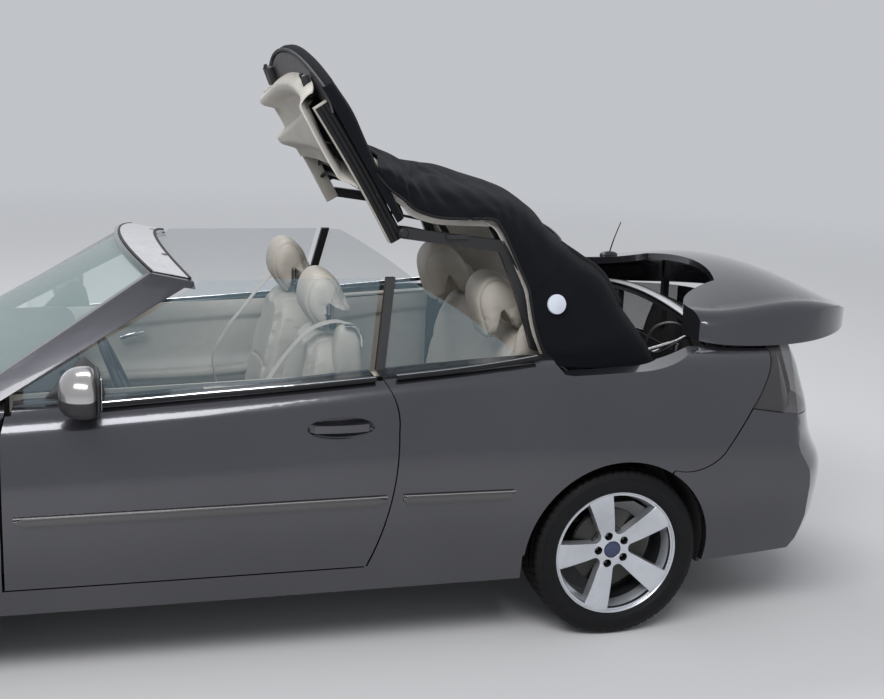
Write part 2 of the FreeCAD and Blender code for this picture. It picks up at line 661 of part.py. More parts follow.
def left_and_right(shape, keep_from=0.0):
    """The part of a symmetric shape that lies beyond keep_from on each side."""
    cut = box(-3000, 3000, -keep_from, keep_from, -100, 3000) if keep_from else None
    return shape.cut(cut) if cut else shape


def hood_rear_cut(skin):
    """Skin right behind the hood's rear edge."""
    plan = [(HOOD_CORNER_X, -1000), (HOOD_CORNER_X, -735), ((HOOD_CENTRE_X, 0), (HOOD_CORNER_X, 735)),
            (HOOD_CORNER_X, 1000), (-1040, 1000), (-1040, -1000)]
    return skin.common(outline_xy(plan, 700, 1200))


def hood(skin):
    top = outline_xy(
        [(-2400, -1000), (HOOD_CORNER_X, -1000), (HOOD_CORNER_X, -735),
         ((HOOD_CENTRE_X, 0), (HOOD_CORNER_X, 735)),
         (HOOD_CORNER_X, 1000), (-2400, 1000)], 500, 1200)
    side = [(-2312, 1200), (-2312, 742), (-2250, 752), (-1950, 820), (-1495, 876), (-905, 916), (-905, 1200)]
    panel = skin.common(outline_xz(side, *WIDE)).common(top)
    x, z = HOOD_PIVOT_X, HOOD_PIVOT_Z
    arm = outline_xz(
        [(x - 16, z - 14), (x + 14, z - 14), ((x + 19, z), (x + 10, z + 16)), (x - 50, z + 30),
         (x - 150, z + 38),
         (x - 150, z + 8)], -684, -656)
    arm = arm.cut(drum(x, z, HOOD_PIN_RADIUS + FIT, -700, -640))
    for angle in HOOD_CLEARING_ANGLES:
        behind = hood_rear_cut(skin)
        behind.rotate(Vec(x, 0, z), Vec(0, 1, 0), -angle)
        panel = panel.cut(behind)
    return panel.fuse([arm, mirrored(arm)]).removeSplitter()


def front_fenders(skin, arches, frame):
    g = SHUT_GAP
    outline = [
        (-1148, SILL_TOP_Z), (DOOR_FRONT_X - g, SILL_TOP_Z), (DOOR_FRONT_X - g, 850),
        (DOOR_FRONT_X + 30 - g, belt_z(DOOR_FRONT_X + 30) + 30), (HOOD_CORNER_X + g, 1000),
        (HOOD_CORNER_X + g, 899 - g), (-1495, 876 - g), (-1950, 820 - g), (-1968, 765), (-2010, 640),
        (-1815, 520), (-1495, 400),
    ]
    wings = skin.common(outline_xz(outline, *WIDE)).cut(arches)
    relief = fender_relief()
    return left_and_right(wings.cut([relief, mirrored(relief), frame]), 692.0)


def headlamps(skin):
    outline = [
        (-2380, 600), (-2010 - SHUT_GAP, 645), (-1968 - SHUT_GAP, 765), (-1950 - SHUT_GAP, 812), (-2250, 745),
        (-2306, 736), (-2400, 730),
    ]
    return left_and_right(skin.common(outline_xz(outline, *WIDE)), 430.0)


def front_bumper(skin, arches):
    low = skin.common(outline_xz(
        [(-2500, 180), (-1700, 180), (-1815, 515), (-2010 - SHUT_GAP, 635), (-2380, 595), (-2500, 595)],
        *WIDE))
    nose = skin.common(box(-2500, -2316, -426, 426, 590, 735))
    holes = [box(-2500, -2300, *UPPER_GRILLE), box(-2500, -2280, *LOWER_GRILLE)]
    eye = rod((-2500, 420, 480), (-2300, 420, 480), TOW_EYE_RADIUS)
    return low.fuse(nose).removeSplitter().cut(arches + holes + [eye])


def grille(skin):
    """Horizontal slats in both nose openings, set back from the skin, and one upright each."""
    slats = []
    for y0, y1, z0, z1 in (UPPER_GRILLE, LOWER_GRILLE):
        z = z0 + GRILLE_PITCH - GRILLE_SLAT
        while z + GRILLE_SLAT < z1:
            slats.append(box(-2500, -2300, y0, y1, z, z + GRILLE_SLAT))
            z += GRILLE_PITCH
        slats.append(box(-2500, -2300, -8, 8, z0, z1))
    mesh = slats[0].fuse(slats[1:])
    mesh = skin.common(mesh)
    mesh.translate(Vec(12, 0, 0))
    upper = box(-2500, -2200, *UPPER_GRILLE)
    lower = box(-2500, -2200, *LOWER_GRILLE)
    return mesh.common(Part.makeCompound([upper, lower]))


def sills(outer, arches):
    """Solid sills below the doors with jacking pads."""
    rail = outer.common(box(-1150, 812, -1000, -STRUCTURE_HALF_WIDTH, SILL_BOTTOM_Z, SILL_TOP_Z))
    pads = [box(x - 40, x + 40, -770, -712, SILL_BOTTOM_Z - 12, SILL_BOTTOM_Z + 8) for x in JACK_PAD_X]
    return both(rail.cut(arches).fuse(pads).removeSplitter())


def deck_opening():
    """Area above the roof well that the raised deck leaves open."""
    left = [(905, -STRUCTURE_HALF_WIDTH), (1180, -700), (1700, -650), (1850, -606), (1930, -530),
            (1968, -400)]
    right = [(x, -y) for x, y in left[::-1]]
    return outline_xy(left + right, 900, 1200)


def rear_quarters(outer, skin, arches):
    """Quarter panels with the cabin-side wall beside the rear seat."""
    g = SHUT_GAP
    belt = 1085.0
    shape = [
        (DOOR_REAR_LOW[0] + g, SILL_TOP_Z), ((320 + g, 590), (DOOR_REAR_MID[0] + g, DOOR_REAR_MID[1])),
        ((336 + g, 912), (DOOR_REAR_TOP[0] - 20 + g, belt_z(DOOR_REAR_TOP[0]) + 30)),
        (DOOR_REAR_TOP[0] - 20 + g, 1200), (905, 1200), (930, 1020), (955, 988), (990, 983), (1240, 988),
        ((1400, 1010), (1505, 1050)), (1505, 1200), (1830, 1200), (1822, 1060),
        ((1778, 960), (1694, 842)), (1575, 684), ((1500, 637), (1376, 634)),
        (1300, 560), (900, 400), (812, SILL_TOP_Z),
    ]
    region = outline_xz(shape, *WIDE)
    inboard = outline_xz(shape, -1000, -STRUCTURE_HALF_WIDTH).common(box(200, 812, -1000, -700, 300, 1200))
    wall = outer.common(inboard)
    step = outline_xz(door_outline(g), -DOOR_STEP_Y, -600)
    panels = skin.common(region).cut(arches + [deck_opening()])
    panels = left_and_right(panels, 620.0)
    cabin = box(200, 905, -STRUCTURE_HALF_WIDTH, STRUCTURE_HALF_WIDTH, 300, 1300)
    wall = wall.cut(arches + [step])
    return panels.cut(cabin).fuse([wall, mirrored(wall)]).removeSplitter()


def tail_lamps(skin):
    outline = [
        (1694 + 5, 840), ((1778 + 5, 958), (1822 + 5, 1060)), (1830 + 5, 1200), (2400, 1200), (2400, 792),
        (1980, 792),
    ]
    return left_and_right(skin.common(outline_xz(outline, *WIDE)).cut(deck_opening()), 430.0)


def tail_panel(skin):
    """Panel between the tail lamps with a recess for a plate, parallel to the raked tail."""
    panel = skin.common(box(1900, 2400, -430 + SHUT_GAP, 430 - SHUT_GAP, 792, 1100)).cut(deck_opening())
    y0, y1, z0, z1 = PLATE_RECESS
    face = [(tail_x(z) - PLATE_DEPTH, z) for z in (z0, z1)]
    return panel.cut(outline_xz(face + [(2400, z1 + 160), (2400, z0)], y0, y1))


def rear_bumper(skin, arches):
    g = SHUT_GAP * 0.7
    shape = [
        (1330, 180), (1330, 560), (1376 + g, 634 - g), ((1500 + g, 637 - g), (1575 + g, 684 - g)),
        (1694 + g, 842 - g - 2), (1980, 792 - FIT - g), (2060, 792 - FIT), (2400, 792 - FIT), (2400, 180),
    ]
    return skin.common(outline_xz(shape, *WIDE)).cut(arches)


def cowl(skin):
    """Dark strip between the hood's rear edge and the foot of the windscreen."""
    c, g = HOOD_CENTRE_X + SHUT_GAP, HOOD_CORNER_X + SHUT_GAP
    plan = [(g, -735), ((c, 0), (g, 735)), (-1085, 735), ((-1238, 0), (-1085, -735))]
    strip = skin.common(outline_xy(plan, 800, 1100))
    return strip.common(box(-1400, -1000, -644, 644, 800, 1100))


# Glass and its frame


def windscreen_frame():
    """Two raked pillars and the curved header between them."""
    pillar = loft([polygon(PILLAR_BASE), polygon(PILLAR_TOP)])
    plug = box(-1080, -968, -744, -702, POST_TOP_Z + FIT, 936)
    pillar = pillar.fuse(plug)
    sections = []
    for y, x0, x1, z0, z1, t in ((-590, -462, -318, 1328, 1297, 34), (0, -548, -392, 1372, 1352, 38),
                                 (590, -462, -318, 1328, 1297, 34)):
        sections.append(((x0, y, z0), (x1, y, z1), (x1 + 6, y, z1 - t + 8), (x0 + 4, y, z0 - t)))
    header = loft([polygon(section) for section in sections], False)
    return header.fuse([pillar, mirrored(pillar)]).removeSplitter()


def curved_sheet(low, high, offset):
    """Sheet between two arcs, each given by three points, thickened along a vector."""
    return Part.makeRuledSurface(arc(*low), arc(*high)).extrude(Vec(*offset))


def before_screen():
    """Space outside the windscreen."""
    return curved_sheet(SCREEN_LOW, SCREEN_HIGH, [260 * n for n in SCREEN_NORMAL])


def windscreen(around):
    glass = curved_sheet(SCREEN_LOW, SCREEN_HIGH, [-GLASS_THICKNESS * n for n in SCREEN_NORMAL])
    glass = glass.cut(around)
    return largest(glass)


def side_glass_prism(outline):
    """Leaning flat pane cut to an outline in side view."""
    (y0, z0), (y1, z1) = GLASS_FOOT, GLASS_TOP
    slope = (y1 - y0) / (z1 - z0)
    lo, hi = 850.0, 1400.0
    ya, yb = y0 + (lo - z0) * slope, y0 + (hi - z0) * slope
    t = GLASS_THICKNESS
    pane = outline_yz([(ya, lo), (ya + t, lo), (yb + t, hi), (yb, hi)], -1200, 1200)
    return pane.common(outline_xz(outline, -900, -500))


def door_glass_outline():
    return [
        (-880, 900), (-880, 975), (-673, 1090), (-325, 1280), (-296, GLASS_TOP[1]), (326, GLASS_TOP[1]),
        (262, 960), (262, 900),
    ]


def left_door_glass():
    """Door pane that stands in its slot in the door's top."""
    return side_glass_prism(door_glass_outline())


def slot(glass):
    """The pane grown by the fit on both faces, as the cutter for its slot."""
    wide = glass.copy()
    wide.translate(Vec(0, FIT, 0))
    narrow = glass.copy()
    narrow.translate(Vec(0, -FIT, 0))
    return [glass, wide, narrow]


def divider_bar():
    """Dark upright at the quarter pane's front edge."""
    outline = [(284, 960), (348, GLASS_TOP[1] + 2), (380, GLASS_TOP[1] + 2), (316, 960)]
    (y0, z0), (y1, z1) = GLASS_FOOT, GLASS_TOP
    slope = (y1 - y0) / (z1 - z0)
    lo, hi = 940.0, 1400.0
    ya, yb = y0 + (lo - z0) * slope, y0 + (hi - z0) * slope
    post = outline_yz([(ya - 5, lo), (ya + 18, lo), (yb + 18, hi), (yb - 5, hi)], 0, 800)
    return post.common(outline_xz(outline, -900, -500))


def left_quarter_glass():
    rest = [(314, 960), (378, GLASS_TOP[1] - 4), (430, GLASS_TOP[1] - 6), ((600, 1195), (806, 1046)),
            (830, 960)]
    return side_glass_prism(rest)


def left_mirror():
    """Door mirror: rounded shell on a short arm that rises from the door's front corner."""
    shell = ellipsoid((-690, -950, 1022), (88, 104, 76)).common(box(-900, -636, -1100, -800, 900, 1150))
    arm = bar((-712, -738, 968), (-705, -880, 996), 70, 34)
    sail = outline_xz([(-840, 955), (-700, 1060), (-640, 962)], -748, -728)
    return fused([shell, arm, sail])


# Cabin


def dashboard(inner):
    """Dashboard with the steering column's housing, trimmed under the cowl and the glass."""
    body = outline_xz(
        [(-1080, 925), (-930, 958), (-760, 962), ((-700, 940), (-690, 880)), (-720, 700), (-860, 560),
         (-1080, 560)], -690, 690)
    shelf = outline_xz([(-1235, 900), (-1235, 960), (-930, 958), (-930, 880), (-1080, 860)], -640, 640)
    ends = [box(-1060, -995, *sorted((s * 680, s * STRUCTURE_HALF_WIDTH)), 640, 840) for s in (-1, 1)]
    back, front = column_point(-230), column_point(-38)
    column = rod(back, front, 34.0)
    bore = rod(column_point(-110), column_point(0), SHAFT_RADIUS + FIT)
    binnacle = box(-760, -700, -520, -220, 900, 985)
    dash = body.fuse([shelf] + ends + [column, binnacle]).removeSplitter().cut([bore, before_screen()])
    return dash.common(inner.fuse(box(-1030, -600, -690, 690, 500, 1200)))


def column_point(along):
    """Point on the steering column's axis, along it from the wheel's centre to the driver."""
    a = math.radians(WHEEL_TILT)
    return (WHEEL_CENTRE[0] + along * math.cos(a), WHEEL_CENTRE[1], WHEEL_CENTRE[2] + along * math.sin(a))


def steering_wheel():
    """Ring, three spokes, boss and shaft, drawn flat and tilted into place."""
    ring = Part.makeTorus(WHEEL_RING_RADIUS, 15.0)
    boss = Part.makeCylinder(62, 34, Vec(0, 0, -26))
    shaft = Part.makeCylinder(SHAFT_RADIUS, 80, Vec(0, 0, -104))
    spokes = []
    for turn in (90, 210, 330):
        arm = Part.makeBox(WHEEL_RING_RADIUS - 40, 34, 12, Vec(40, -17, -10))
        arm.rotate(Vec(0, 0, 0), Vec(0, 0, 1), turn)
        spokes.append(arm)
    wheel = fused([ring, boss, shaft] + spokes)
    wheel.rotate(Vec(0, 0, 0), Vec(0, 0, 1), 90)
    wheel.rotate(Vec(0, 0, 0), Vec(0, 1, 0), 90 - WHEEL_TILT)
    wheel.translate(Vec(*WHEEL_CENTRE))
    return wheel


def console():
    top = FLOOR_Z + FLOOR_THICKNESS
    return outline_xz(
        [(-800, top), (300, top), (300, 480), (180, 520), (-260, 505), (-420, 470), (-800, 560)], -105, 105)


def front_seat():
    """Driver's seat: runners, cushion, bolstered back and headrest."""
    y, top = -SEAT_Y, FLOOR_Z + FLOOR_THICKNESS
    base = box(-300, 130, y - 190, y + 190, top, 400)
    cushion = outline_xz([(-330, 400), (210, 400), (180, 520), (-240, 575), ((-330, 570), (-345, 490))],
                         y - 250, y + 250)
    back = outline_xz(
        [(100, 460), (190, 420), (235, 500), (335, 1060), ((325, 1100), (270, 1098)), (215, 1070)],
        y - 245, y + 245)
    neck = bar((270, y, 1080), (205, y, 1180), 120, 14)
    head = outline_xz([(130, 1150), ((185, 1125), (238, 1150)), (210, 1295), ((170, 1318), (135, 1280))],
                      y - 135, y + 135)
    return fused([base, cushion, back, neck, head])


def rear_seat(shell):
    """Rear bench with its back and two headrests, resting on the floor's step."""
    cushion = outline_xz(
        [(575, 330), (1000, 330), (1000, 520), (640, 545), ((560, 530), (562, 440))], -578, 578)
    back = outline_xz([(900, 480), (1000, 480), (1062, 1080), ((1040, 1108), (985, 1080))], -562, 562)
    heads = []
    for y in (-360, 360):
        heads.append(outline_xz(
            [(880, 1130), (985, 1070), (1040, 1090), (1000, 1170), ((940, 1262), (880, 1270)),
             ((835, 1262), (850, 1200))], y - 125, y + 125))
    return fused([cushion, back] + heads).cut(shell)


def roof_well():
    """Open tub behind the rear seat that takes the folded roof, with its bright edge strip."""
    tub = box(1068, 1640, -585.6, 585.6, 450, 930).cut(box(1076, 1632, -576, 576, 458, 1000))
    z = 1036.0
    strip = Part.Wire([
        arc((1612, -652, z), (1612, 0, z + 66), (1612, 652, z)), line((1612, 652, z), (1612, 652, z - 14)),
        arc((1612, 652, z - 14), (1612, 0, z + 52), (1612, -652, z - 14)),
        line((1612, -652, z - 14), (1612, -652, z)),
    ])
    strip = Part.Face(strip).extrude(Vec(34, 0, 0))
    posts = [box(1614, 1640, s * 300 - 12, s * 300 + 12, 925, z + 40) for s in (-1, 1)]
    near, x, top = ROOF_RAIL_Y - RAIL_WIDTH / 2 - 6, ROOF_PIVOT_X, ROOF_PIVOT_Z
    for s in (-1, 1):
        foot = box(x - 50, x + 50, *sorted((s * (near - 22), s * 580)), 860, 928)
        plate = outline_xz(
            [(x - 50, 900), (x + 50, 900), (x + 24, top), ((x, top + 24), (x - 24, top)), (x - 50, 900)],
            *sorted((s * (near - 22), s * near)))
        pin = rod((x, s * (near - 4), top), (x, s * (near + RAIL_WIDTH + 10), top), ROOF_PIN_RADIUS)
        posts += [foot, plate, pin]
    return fused([tub, strip] + posts)


# Power train and tanks


def engine():
    """Engine and gearbox as one block between the front rails."""
    return box(-2080, -1600, -380, 380, 300, 800)


def exhaust():
    silencer = box(1560, 1890, 120, 470, 222, 330)
    pipe = rod((1860, 430, 246), (2100, 430, 232), 24.0)
    route = [(-1240, 60, 172), (640, 60, 172), (1500, 160, 226), (1570, 180, 262)]
    bends = [Part.makeSphere(PIPE_RADIUS, Vec(*p)) for p in route[1:-1]]
    runs = [rod(a, b, PIPE_RADIUS) for a, b in zip(route, route[1:])]
    return fused([silencer, pipe] + runs + bends)


def fuel_tank():
    return box(702, 1000, -500, 20, 226, 330)


def radiator():
    return box(-2302, -2262, -360, 360, 300, 640)


# Deck


def deck_section(row, inset=0.0, drop=0.0):
    x, yb, zb, ym, zm, ys, zs, zc = row
    yb, ym, ys, zm, zs, zc = yb - inset, ym - inset, ys - inset, zm - drop, zs - drop, zc - drop
    zb = zb - (60.0 if inset else 0.0)
    left = [(x, -yb, zb), (x, -ym, zm), (x, -ys, zs)]
    right = [(x, yb, zb), (x, ym, zm), (x, ys, zs)]
    mid = ((ym + ys) / 2 + 9, (zm + zs) / 2 + 9)
    return Part.Wire([
        line(right[0], left[0]), line(left[0], left[1]), arc(left[1], (x, -mid[0], mid[1]), left[2]),
        arc(left[2], (x, 0, zc), right[2]), arc(right[2], (x, mid[0], mid[1]), right[1]),
        line(right[1], right[0]),
    ])


def deck_plan(inset=0.0):
    """The deck seen from above: rounded tail, straight flanks, two ears round a wide notch."""
    t = DECK_TAIL_X - inset
    left = [(1526, -540), (1545, -(652 - inset)), ((1640, -(706 - inset)), (1790, -(696 - inset))),
            ((2110, -(596 - inset)), (t - 90, -340)), ((t, 0), (t - 90, 340))]
    right = [((2110, 596 - inset), (1790, 696 - inset)), ((1640, 706 - inset), (1545, 652 - inset)),
             (1526, 540)]
    notch = [((1600, 420), (1753, 330)), ((1812, 0), (1753, -330)), ((1600, -420), (1526, -540))]
    return outline_xy(left + right + notch, 900, 1400)


def deck_pieces():
    """Upper panel and lower rim of the raised deck, split by a nearly level groove."""
    outer = loft([deck_section(r) for r in DECK], False).common(deck_plan())
    inner = loft([deck_section(r, DECK_RIM_WIDTH, DECK_THICKNESS) for r in DECK], False).common(
        deck_plan(DECK_RIM_WIDTH))
    shell = outer.cut(inner)
    above = outline_xz([(1400, 1150), (1786, 1150), (2120, 1162), (2120, 1500), (1400, 1500)], *WIDE)
    seam = [(1400, -1000), (2000, -1000), ((2080, -480), (2120, 0)), ((2080, 480), (2000, 1000)),
            (1400, 1000)]
    above = above.common(outline_xy(seam, 1000, 1500))
    panel = shell.common(above)
    rim = shell.cut(above)
    return panel, rim


def deck_arms(deck, shell):
    """Two arms that hold the raised deck on the body's rear wall."""
    arm = box(REAR_WALL_X - 46, REAR_WALL_X - 18, -470, -440, 880, 1200)
    arm = arm.cut(deck + [shell])
    return both(min(arm.Solids, key=lambda s: s.BoundBox.ZMin))


# Roof


def cover_section(row):
    """Arched strip: up the side from its hem, round the corner and over the middle."""
    hx, hz, hy, cx, cz, cy, rise = row
    d = math.hypot(cx - hx, cz - hz)
    ux, uz = (cx - hx) / d, (cz - hz) / d
    t = COVER_THICKNESS

    def at(along, y):
        return (hx + ux * along, y, hz + uz * along)

    outer = [at(0, -hy), at(d * 0.55, -(hy + cy) / 2 - 22), at(d, -cy), at(d + rise, 0)]
    inner = [at(0, -hy + t), at(d * 0.55, -(hy + cy) / 2 - 22 + t), at(d - t, -cy + t), at(d + rise - t, 0)]
    flip = lambda p: (p[0], -p[1], p[2])
    return Part.Wire([
        arc(outer[0], outer[1], outer[2]), arc(outer[2], outer[3], flip(outer[2])),
        arc(flip(outer[2]), flip(outer[1]), flip(outer[0])), line(flip(outer[0]), flip(inner[0])),
        arc(flip(inner[0]), flip(inner[1]), flip(inner[2])), arc(flip(inner[2]), inner[3], inner[2]),
        arc(inner[2], inner[1], inner[0]), line(inner[0], outer[0]),
    ])


def roof_rear_cover():
    """Cloth from the roof hinge over the rear bow and down into the well, and its window."""
    shell = loft([cover_section(r) for r in COVER])
    window = outline_xz([(1040, 1700), (900, 1400), (1080, 1150), (1500, 1150)], -380, 380)
    return shell.cut(window), shell.common(window)


def roof_side_rails(cover):
    """Rail, curved rear frame and main link on each side, and the bows that carry the cloth."""
    y0, y1 = -ROOF_RAIL_Y - RAIL_WIDTH / 2, -ROOF_RAIL_Y + RAIL_WIDTH / 2
    side = outline_xz(
        [(ROOF_HINGE_X + 6, ROOF_HINGE_Z + 18), (775, 1432), ((868, 1250), (915, 1092)), (1180, 1034),
         ((1214, 1000), (1180, 966)), (900, 1030), ((862, 1150), (762, 1392)),
         (ROOF_HINGE_X, ROOF_HINGE_Z - 20),
         ((ROOF_HINGE_X - 19, ROOF_HINGE_Z), (ROOF_HINGE_X + 6, ROOF_HINGE_Z + 18))], y0, y1)
    side = side.cut([drum(ROOF_PIVOT_X, ROOF_PIVOT_Z, ROOF_PIN_RADIUS + FIT, -700, -500),
                     drum(ROOF_HINGE_X, ROOF_HINGE_Z, ROOF_HINGE_PIN + FIT, -700, -500)])
    bows = []
    for x, z, rise in ((760, 1414, 118), (560, 1444, 110)):
        wire = Part.Wire([
            arc((x, -590, z), (x, 0, z + rise), (x, 590, z)), line((x, 590, z), (x, 590, z - 18)),
            arc((x, 590, z - 18), (x, 0, z + rise - 18), (x, -590, z - 18)),
            line((x, -590, z - 18), (x, -590, z)),
        ])
        bows.append(Part.Face(wire).extrude(Vec(26, 0, 0)))
    clamps = [box(560, 640, *sorted((s * (ROOF_RAIL_Y + 10), s * (ROOF_RAIL_Y + 32))), 1442, 1456)
              for s in (-1, 1)]
    rails = fused([side, mirrored(side)] + bows + clamps).cut(cover)
    return largest(rails)


def front_panel_point(along, up, y):
    """Point in the front roof panel's own plane: along it from the hinge, up to its cloth side."""
    a = math.radians(ROOF_FRONT_ANGLE)
    return (ROOF_HINGE_X + along * math.cos(a) + up * math.sin(a), y,
            ROOF_HINGE_Z + along * math.sin(a) - up * math.cos(a))


def front_arch(along, half, rise, base, thick):
    """Closed arched section of the front panel."""
    p = front_panel_point
    b = base + thick
    return Part.Wire([
        arc(p(along, base, -half), p(along, base + rise, 0), p(along, base, half)),
        line(p(along, base, half), p(along, b, half)),
        arc(p(along, b, half), p(along, b + rise, 0), p(along, b, -half)),
        line(p(along, b, -half), p(along, base, -half)),
    ])


def front_edge_trim():
    """Curved front edge of the panel, as a cutter."""
    p = front_panel_point
    side = ROOF_FRONT_SIDE_LENGTH
    pts = [p(side, -200, -640), p(ROOF_FRONT_LENGTH, -200, 0), p(side, -200, 640)]
    far = [p(1200, -200, -640), p(1200, -200, 640)]
    wire = Part.Wire([arc(*pts), line(pts[2], far[1]), line(far[1], far[0]), line(far[0], pts[0])])
    return Part.Face(wire).extrude(Vec(*p(0, 500, 0)) - Vec(*p(0, 0, 0)))


def roof_front_frame():
    """Arched front shell, its two side rails and the hinge pins."""
    shell = loft([front_arch(a, half, rise, base, 20) for a, half, rise, base in ROOF_FRONT_ARCHES])
    shell = shell.cut(front_edge_trim())
    rail = []
    p = front_panel_point
    for s in (-1, 1):
        y = s * (ROOF_RAIL_Y - RAIL_WIDTH - 4)
        rail.append(bar(p(-14, -5, y), p(520, -20, y - s * 30), 30, 56, Vec(*p(0, 1, 0)) - Vec(*p(0, 0, 0))))
        pin = rod((ROOF_HINGE_X, y, ROOF_HINGE_Z), (ROOF_HINGE_X, s * (ROOF_RAIL_Y + 13), ROOF_HINGE_Z),
                  ROOF_HINGE_PIN)
        rail.append(pin)
    return fused([shell] + rail)


def roof_front_cover():
    """Cloth on the front shell."""
    cloth = loft([front_arch(a, half, rise, base + 20, 14) for a, half, rise, base in ROOF_FRONT_ARCHES])
    return cloth.cut(front_edge_trim())


def make_parts():
    """All pieces by node name."""
    outer = hull()
    inner = hull(PANEL_THICKNESS, HOOD_THICKNESS)
    skin = outer.cut(inner)
    arches = all_arches()
    parts = {}
    frame = windscreen_frame()
    strip = cowl(skin)
    shell = underbody(inner)
    parts["underbody"] = shell
    parts["windscreen_frame"] = frame
    parts["cowl"] = strip
    parts["hood"] = hood(skin)
    parts["front_fenders"] = front_fenders(skin, arches, frame)
    parts["headlamps"] = headlamps(skin)
    parts["front_bumper"] = front_bumper(skin, arches)
    parts["grille"] = grille(skin)
    parts["sills"] = sills(outer, arches)
    parts["rear_quarters"] = rear_quarters(outer, skin, arches)
    liners = [w.cut([shell, parts["rear_quarters"]]) for w in wheelhouses(inner)]
    parts["wheelhouses"] = fused_apart([largest(liner) for liner in liners])
    parts["tail_lamps"] = tail_lamps(skin)
    parts["tail_panel"] = tail_panel(skin)
    parts["rear_bumper"] = rear_bumper(skin, arches)
    glass = left_door_glass()
    mirror = left_mirror()
    door = left_door(outer).cut(slot(glass))
    mirror = mirror.cut([door] + slot(glass))
    for side, turn in (("left", lambda s: s), ("right", mirrored)):
        parts["door_" + side] = turn(door)
        parts["door_glass_" + side] = turn(glass)
        parts["mirror_" + side] = turn(mirror)
    parts["windscreen"] = windscreen([frame, strip, parts["front_fenders"]])
    bars = divider_bar().cut(outline_xz(door_outline(SHUT_GAP), -900, -500))
    quarter = left_quarter_glass()
    bars = bars.cut([quarter])
    cuts = slot(quarter) + [bars]
    parts["rear_quarters"] = parts["rear_quarters"].cut(cuts + [mirrored(c) for c in cuts])
    parts["quarter_glass"] = both(quarter)
    parts["quarter_dividers"] = both(bars)
    parts["dashboard"] = dashboard(inner).cut([shell, strip, parts["windscreen"]])
    parts["steering_wheel"] = steering_wheel()
    parts["console"] = console()
    parts["front_seats"] = both(front_seat())
    parts["rear_seat"] = rear_seat(shell)
    parts["roof_well"] = roof_well().cut(shell)
    parts["engine"] = engine()
    parts["radiator"] = radiator()
    parts["front_subframe"] = front_subframe()
    parts["rear_axle"] = rear_axle()
    parts["exhaust"] = exhaust()
    parts["fuel_tank"] = fuel_tank()
    panel, rim = deck_pieces()
    parts["deck_panel"] = panel
    parts["deck_rim"] = rim
    parts["deck_arms"] = deck_arms([panel, rim], shell)
    for name, x, track, side in (
            ("front_left", FRONT_AXLE_X, FRONT_TRACK, -1), ("front_right", FRONT_AXLE_X, FRONT_TRACK, 1),
            ("rear_left", REAR_AXLE_X, REAR_TRACK, -1), ("rear_right", REAR_AXLE_X, REAR_TRACK, 1)):
        parts["tyre_" + name] = tyre(x, track, side)
        parts["wheel_" + name] = road_wheel(x, track, side)
    parts["knuckle_left"] = knuckle(-1)
    parts["knuckle_right"] = knuckle(1)
    cover, window = roof_rear_cover()
    parts["roof_rear_cover"] = cover
    parts["rear_window"] = window
    parts["roof_side_rails"] = roof_side_rails([cover, window])
    parts["roof_front_frame"] = roof_front_frame()
    parts["roof_front_cover"] = roof_front_cover()
    return parts


if __name__ == "__main__":
    os.makedirs("parts", exist_ok=True)
    for name, shape in make_parts().items():
        print(name, shape.isValid(), len(shape.Solids), round(shape.Volume / 1e6, 2))
        shape.exportStep("parts/%s.step" % name)
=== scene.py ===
# %% [markdown]
# # Convertible car with its roof half folded
# The car is built around a fixed frame: the CAD model, packed with its joints. Every piece made
# here is in metres in that same frame, so nothing has to be fitted afterwards.
# +X points to the tail, +Y to the car's right side and +Z up; the ground is z = 0.

# %% Load the frame
import math

import bmesh
import bpy
import numpy as np
from mathutils import Matrix, Vector
from mathutils.bvhtree import BVHTree


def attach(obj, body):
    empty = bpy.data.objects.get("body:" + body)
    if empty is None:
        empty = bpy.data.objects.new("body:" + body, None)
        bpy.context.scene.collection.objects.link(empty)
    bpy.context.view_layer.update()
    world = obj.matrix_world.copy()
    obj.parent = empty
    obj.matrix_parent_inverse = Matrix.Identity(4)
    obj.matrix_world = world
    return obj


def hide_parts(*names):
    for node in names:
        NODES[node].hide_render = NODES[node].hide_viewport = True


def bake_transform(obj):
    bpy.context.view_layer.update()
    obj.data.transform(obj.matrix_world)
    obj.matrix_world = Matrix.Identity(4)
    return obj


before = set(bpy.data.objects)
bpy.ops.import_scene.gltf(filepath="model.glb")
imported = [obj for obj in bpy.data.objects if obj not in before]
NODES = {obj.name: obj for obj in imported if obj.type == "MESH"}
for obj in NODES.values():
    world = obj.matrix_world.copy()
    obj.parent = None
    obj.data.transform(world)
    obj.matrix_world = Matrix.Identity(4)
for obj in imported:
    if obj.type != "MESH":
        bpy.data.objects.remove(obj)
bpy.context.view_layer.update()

# %% [markdown]
# ## Camera
# The camera stands left of the car at head height, turned a little to the tail, as a person with
# a camera would. Its place, three angles and focal length were worked out from the wheelbase,
# the track and the tyres, so that the car covers the same part of the frame as in the photograph.

# %% Camera
CAMERA_PLACE = np.array([-0.797, -5.304, 2.175])
YAW, PITCH, ROLL = (math.radians(a) for a in (16.113, 13.054, 2.140))
FOCAL_PIXELS, IMAGE_WIDTH, SENSOR_WIDTH = 1400.1, 884, 36.0
forward = np.array([math.sin(YAW) * math.cos(PITCH), math.cos(YAW) * math.cos(PITCH), -math.sin(PITCH)])
level = np.array([math.cos(YAW), -math.sin(YAW), 0.0])
upright = np.cross(level, forward)
right = level * math.cos(ROLL) + upright * math.sin(ROLL)
up = upright * math.cos(ROLL) - level * math.sin(ROLL)
camera_data = bpy.data.cameras.new("camera")
camera_data.sensor_width = SENSOR_WIDTH
camera_data.lens = FOCAL_PIXELS * SENSOR_WIDTH / IMAGE_WIDTH
camera_data.clip_start, camera_data.clip_end = 0.05, 200.0
camera = bpy.data.objects.new("camera", camera_data)
bpy.context.scene.collection.objects.link(camera)
turn = np.eye(4)
turn[:3, :3] = np.stack([right, up, -forward], axis=1)
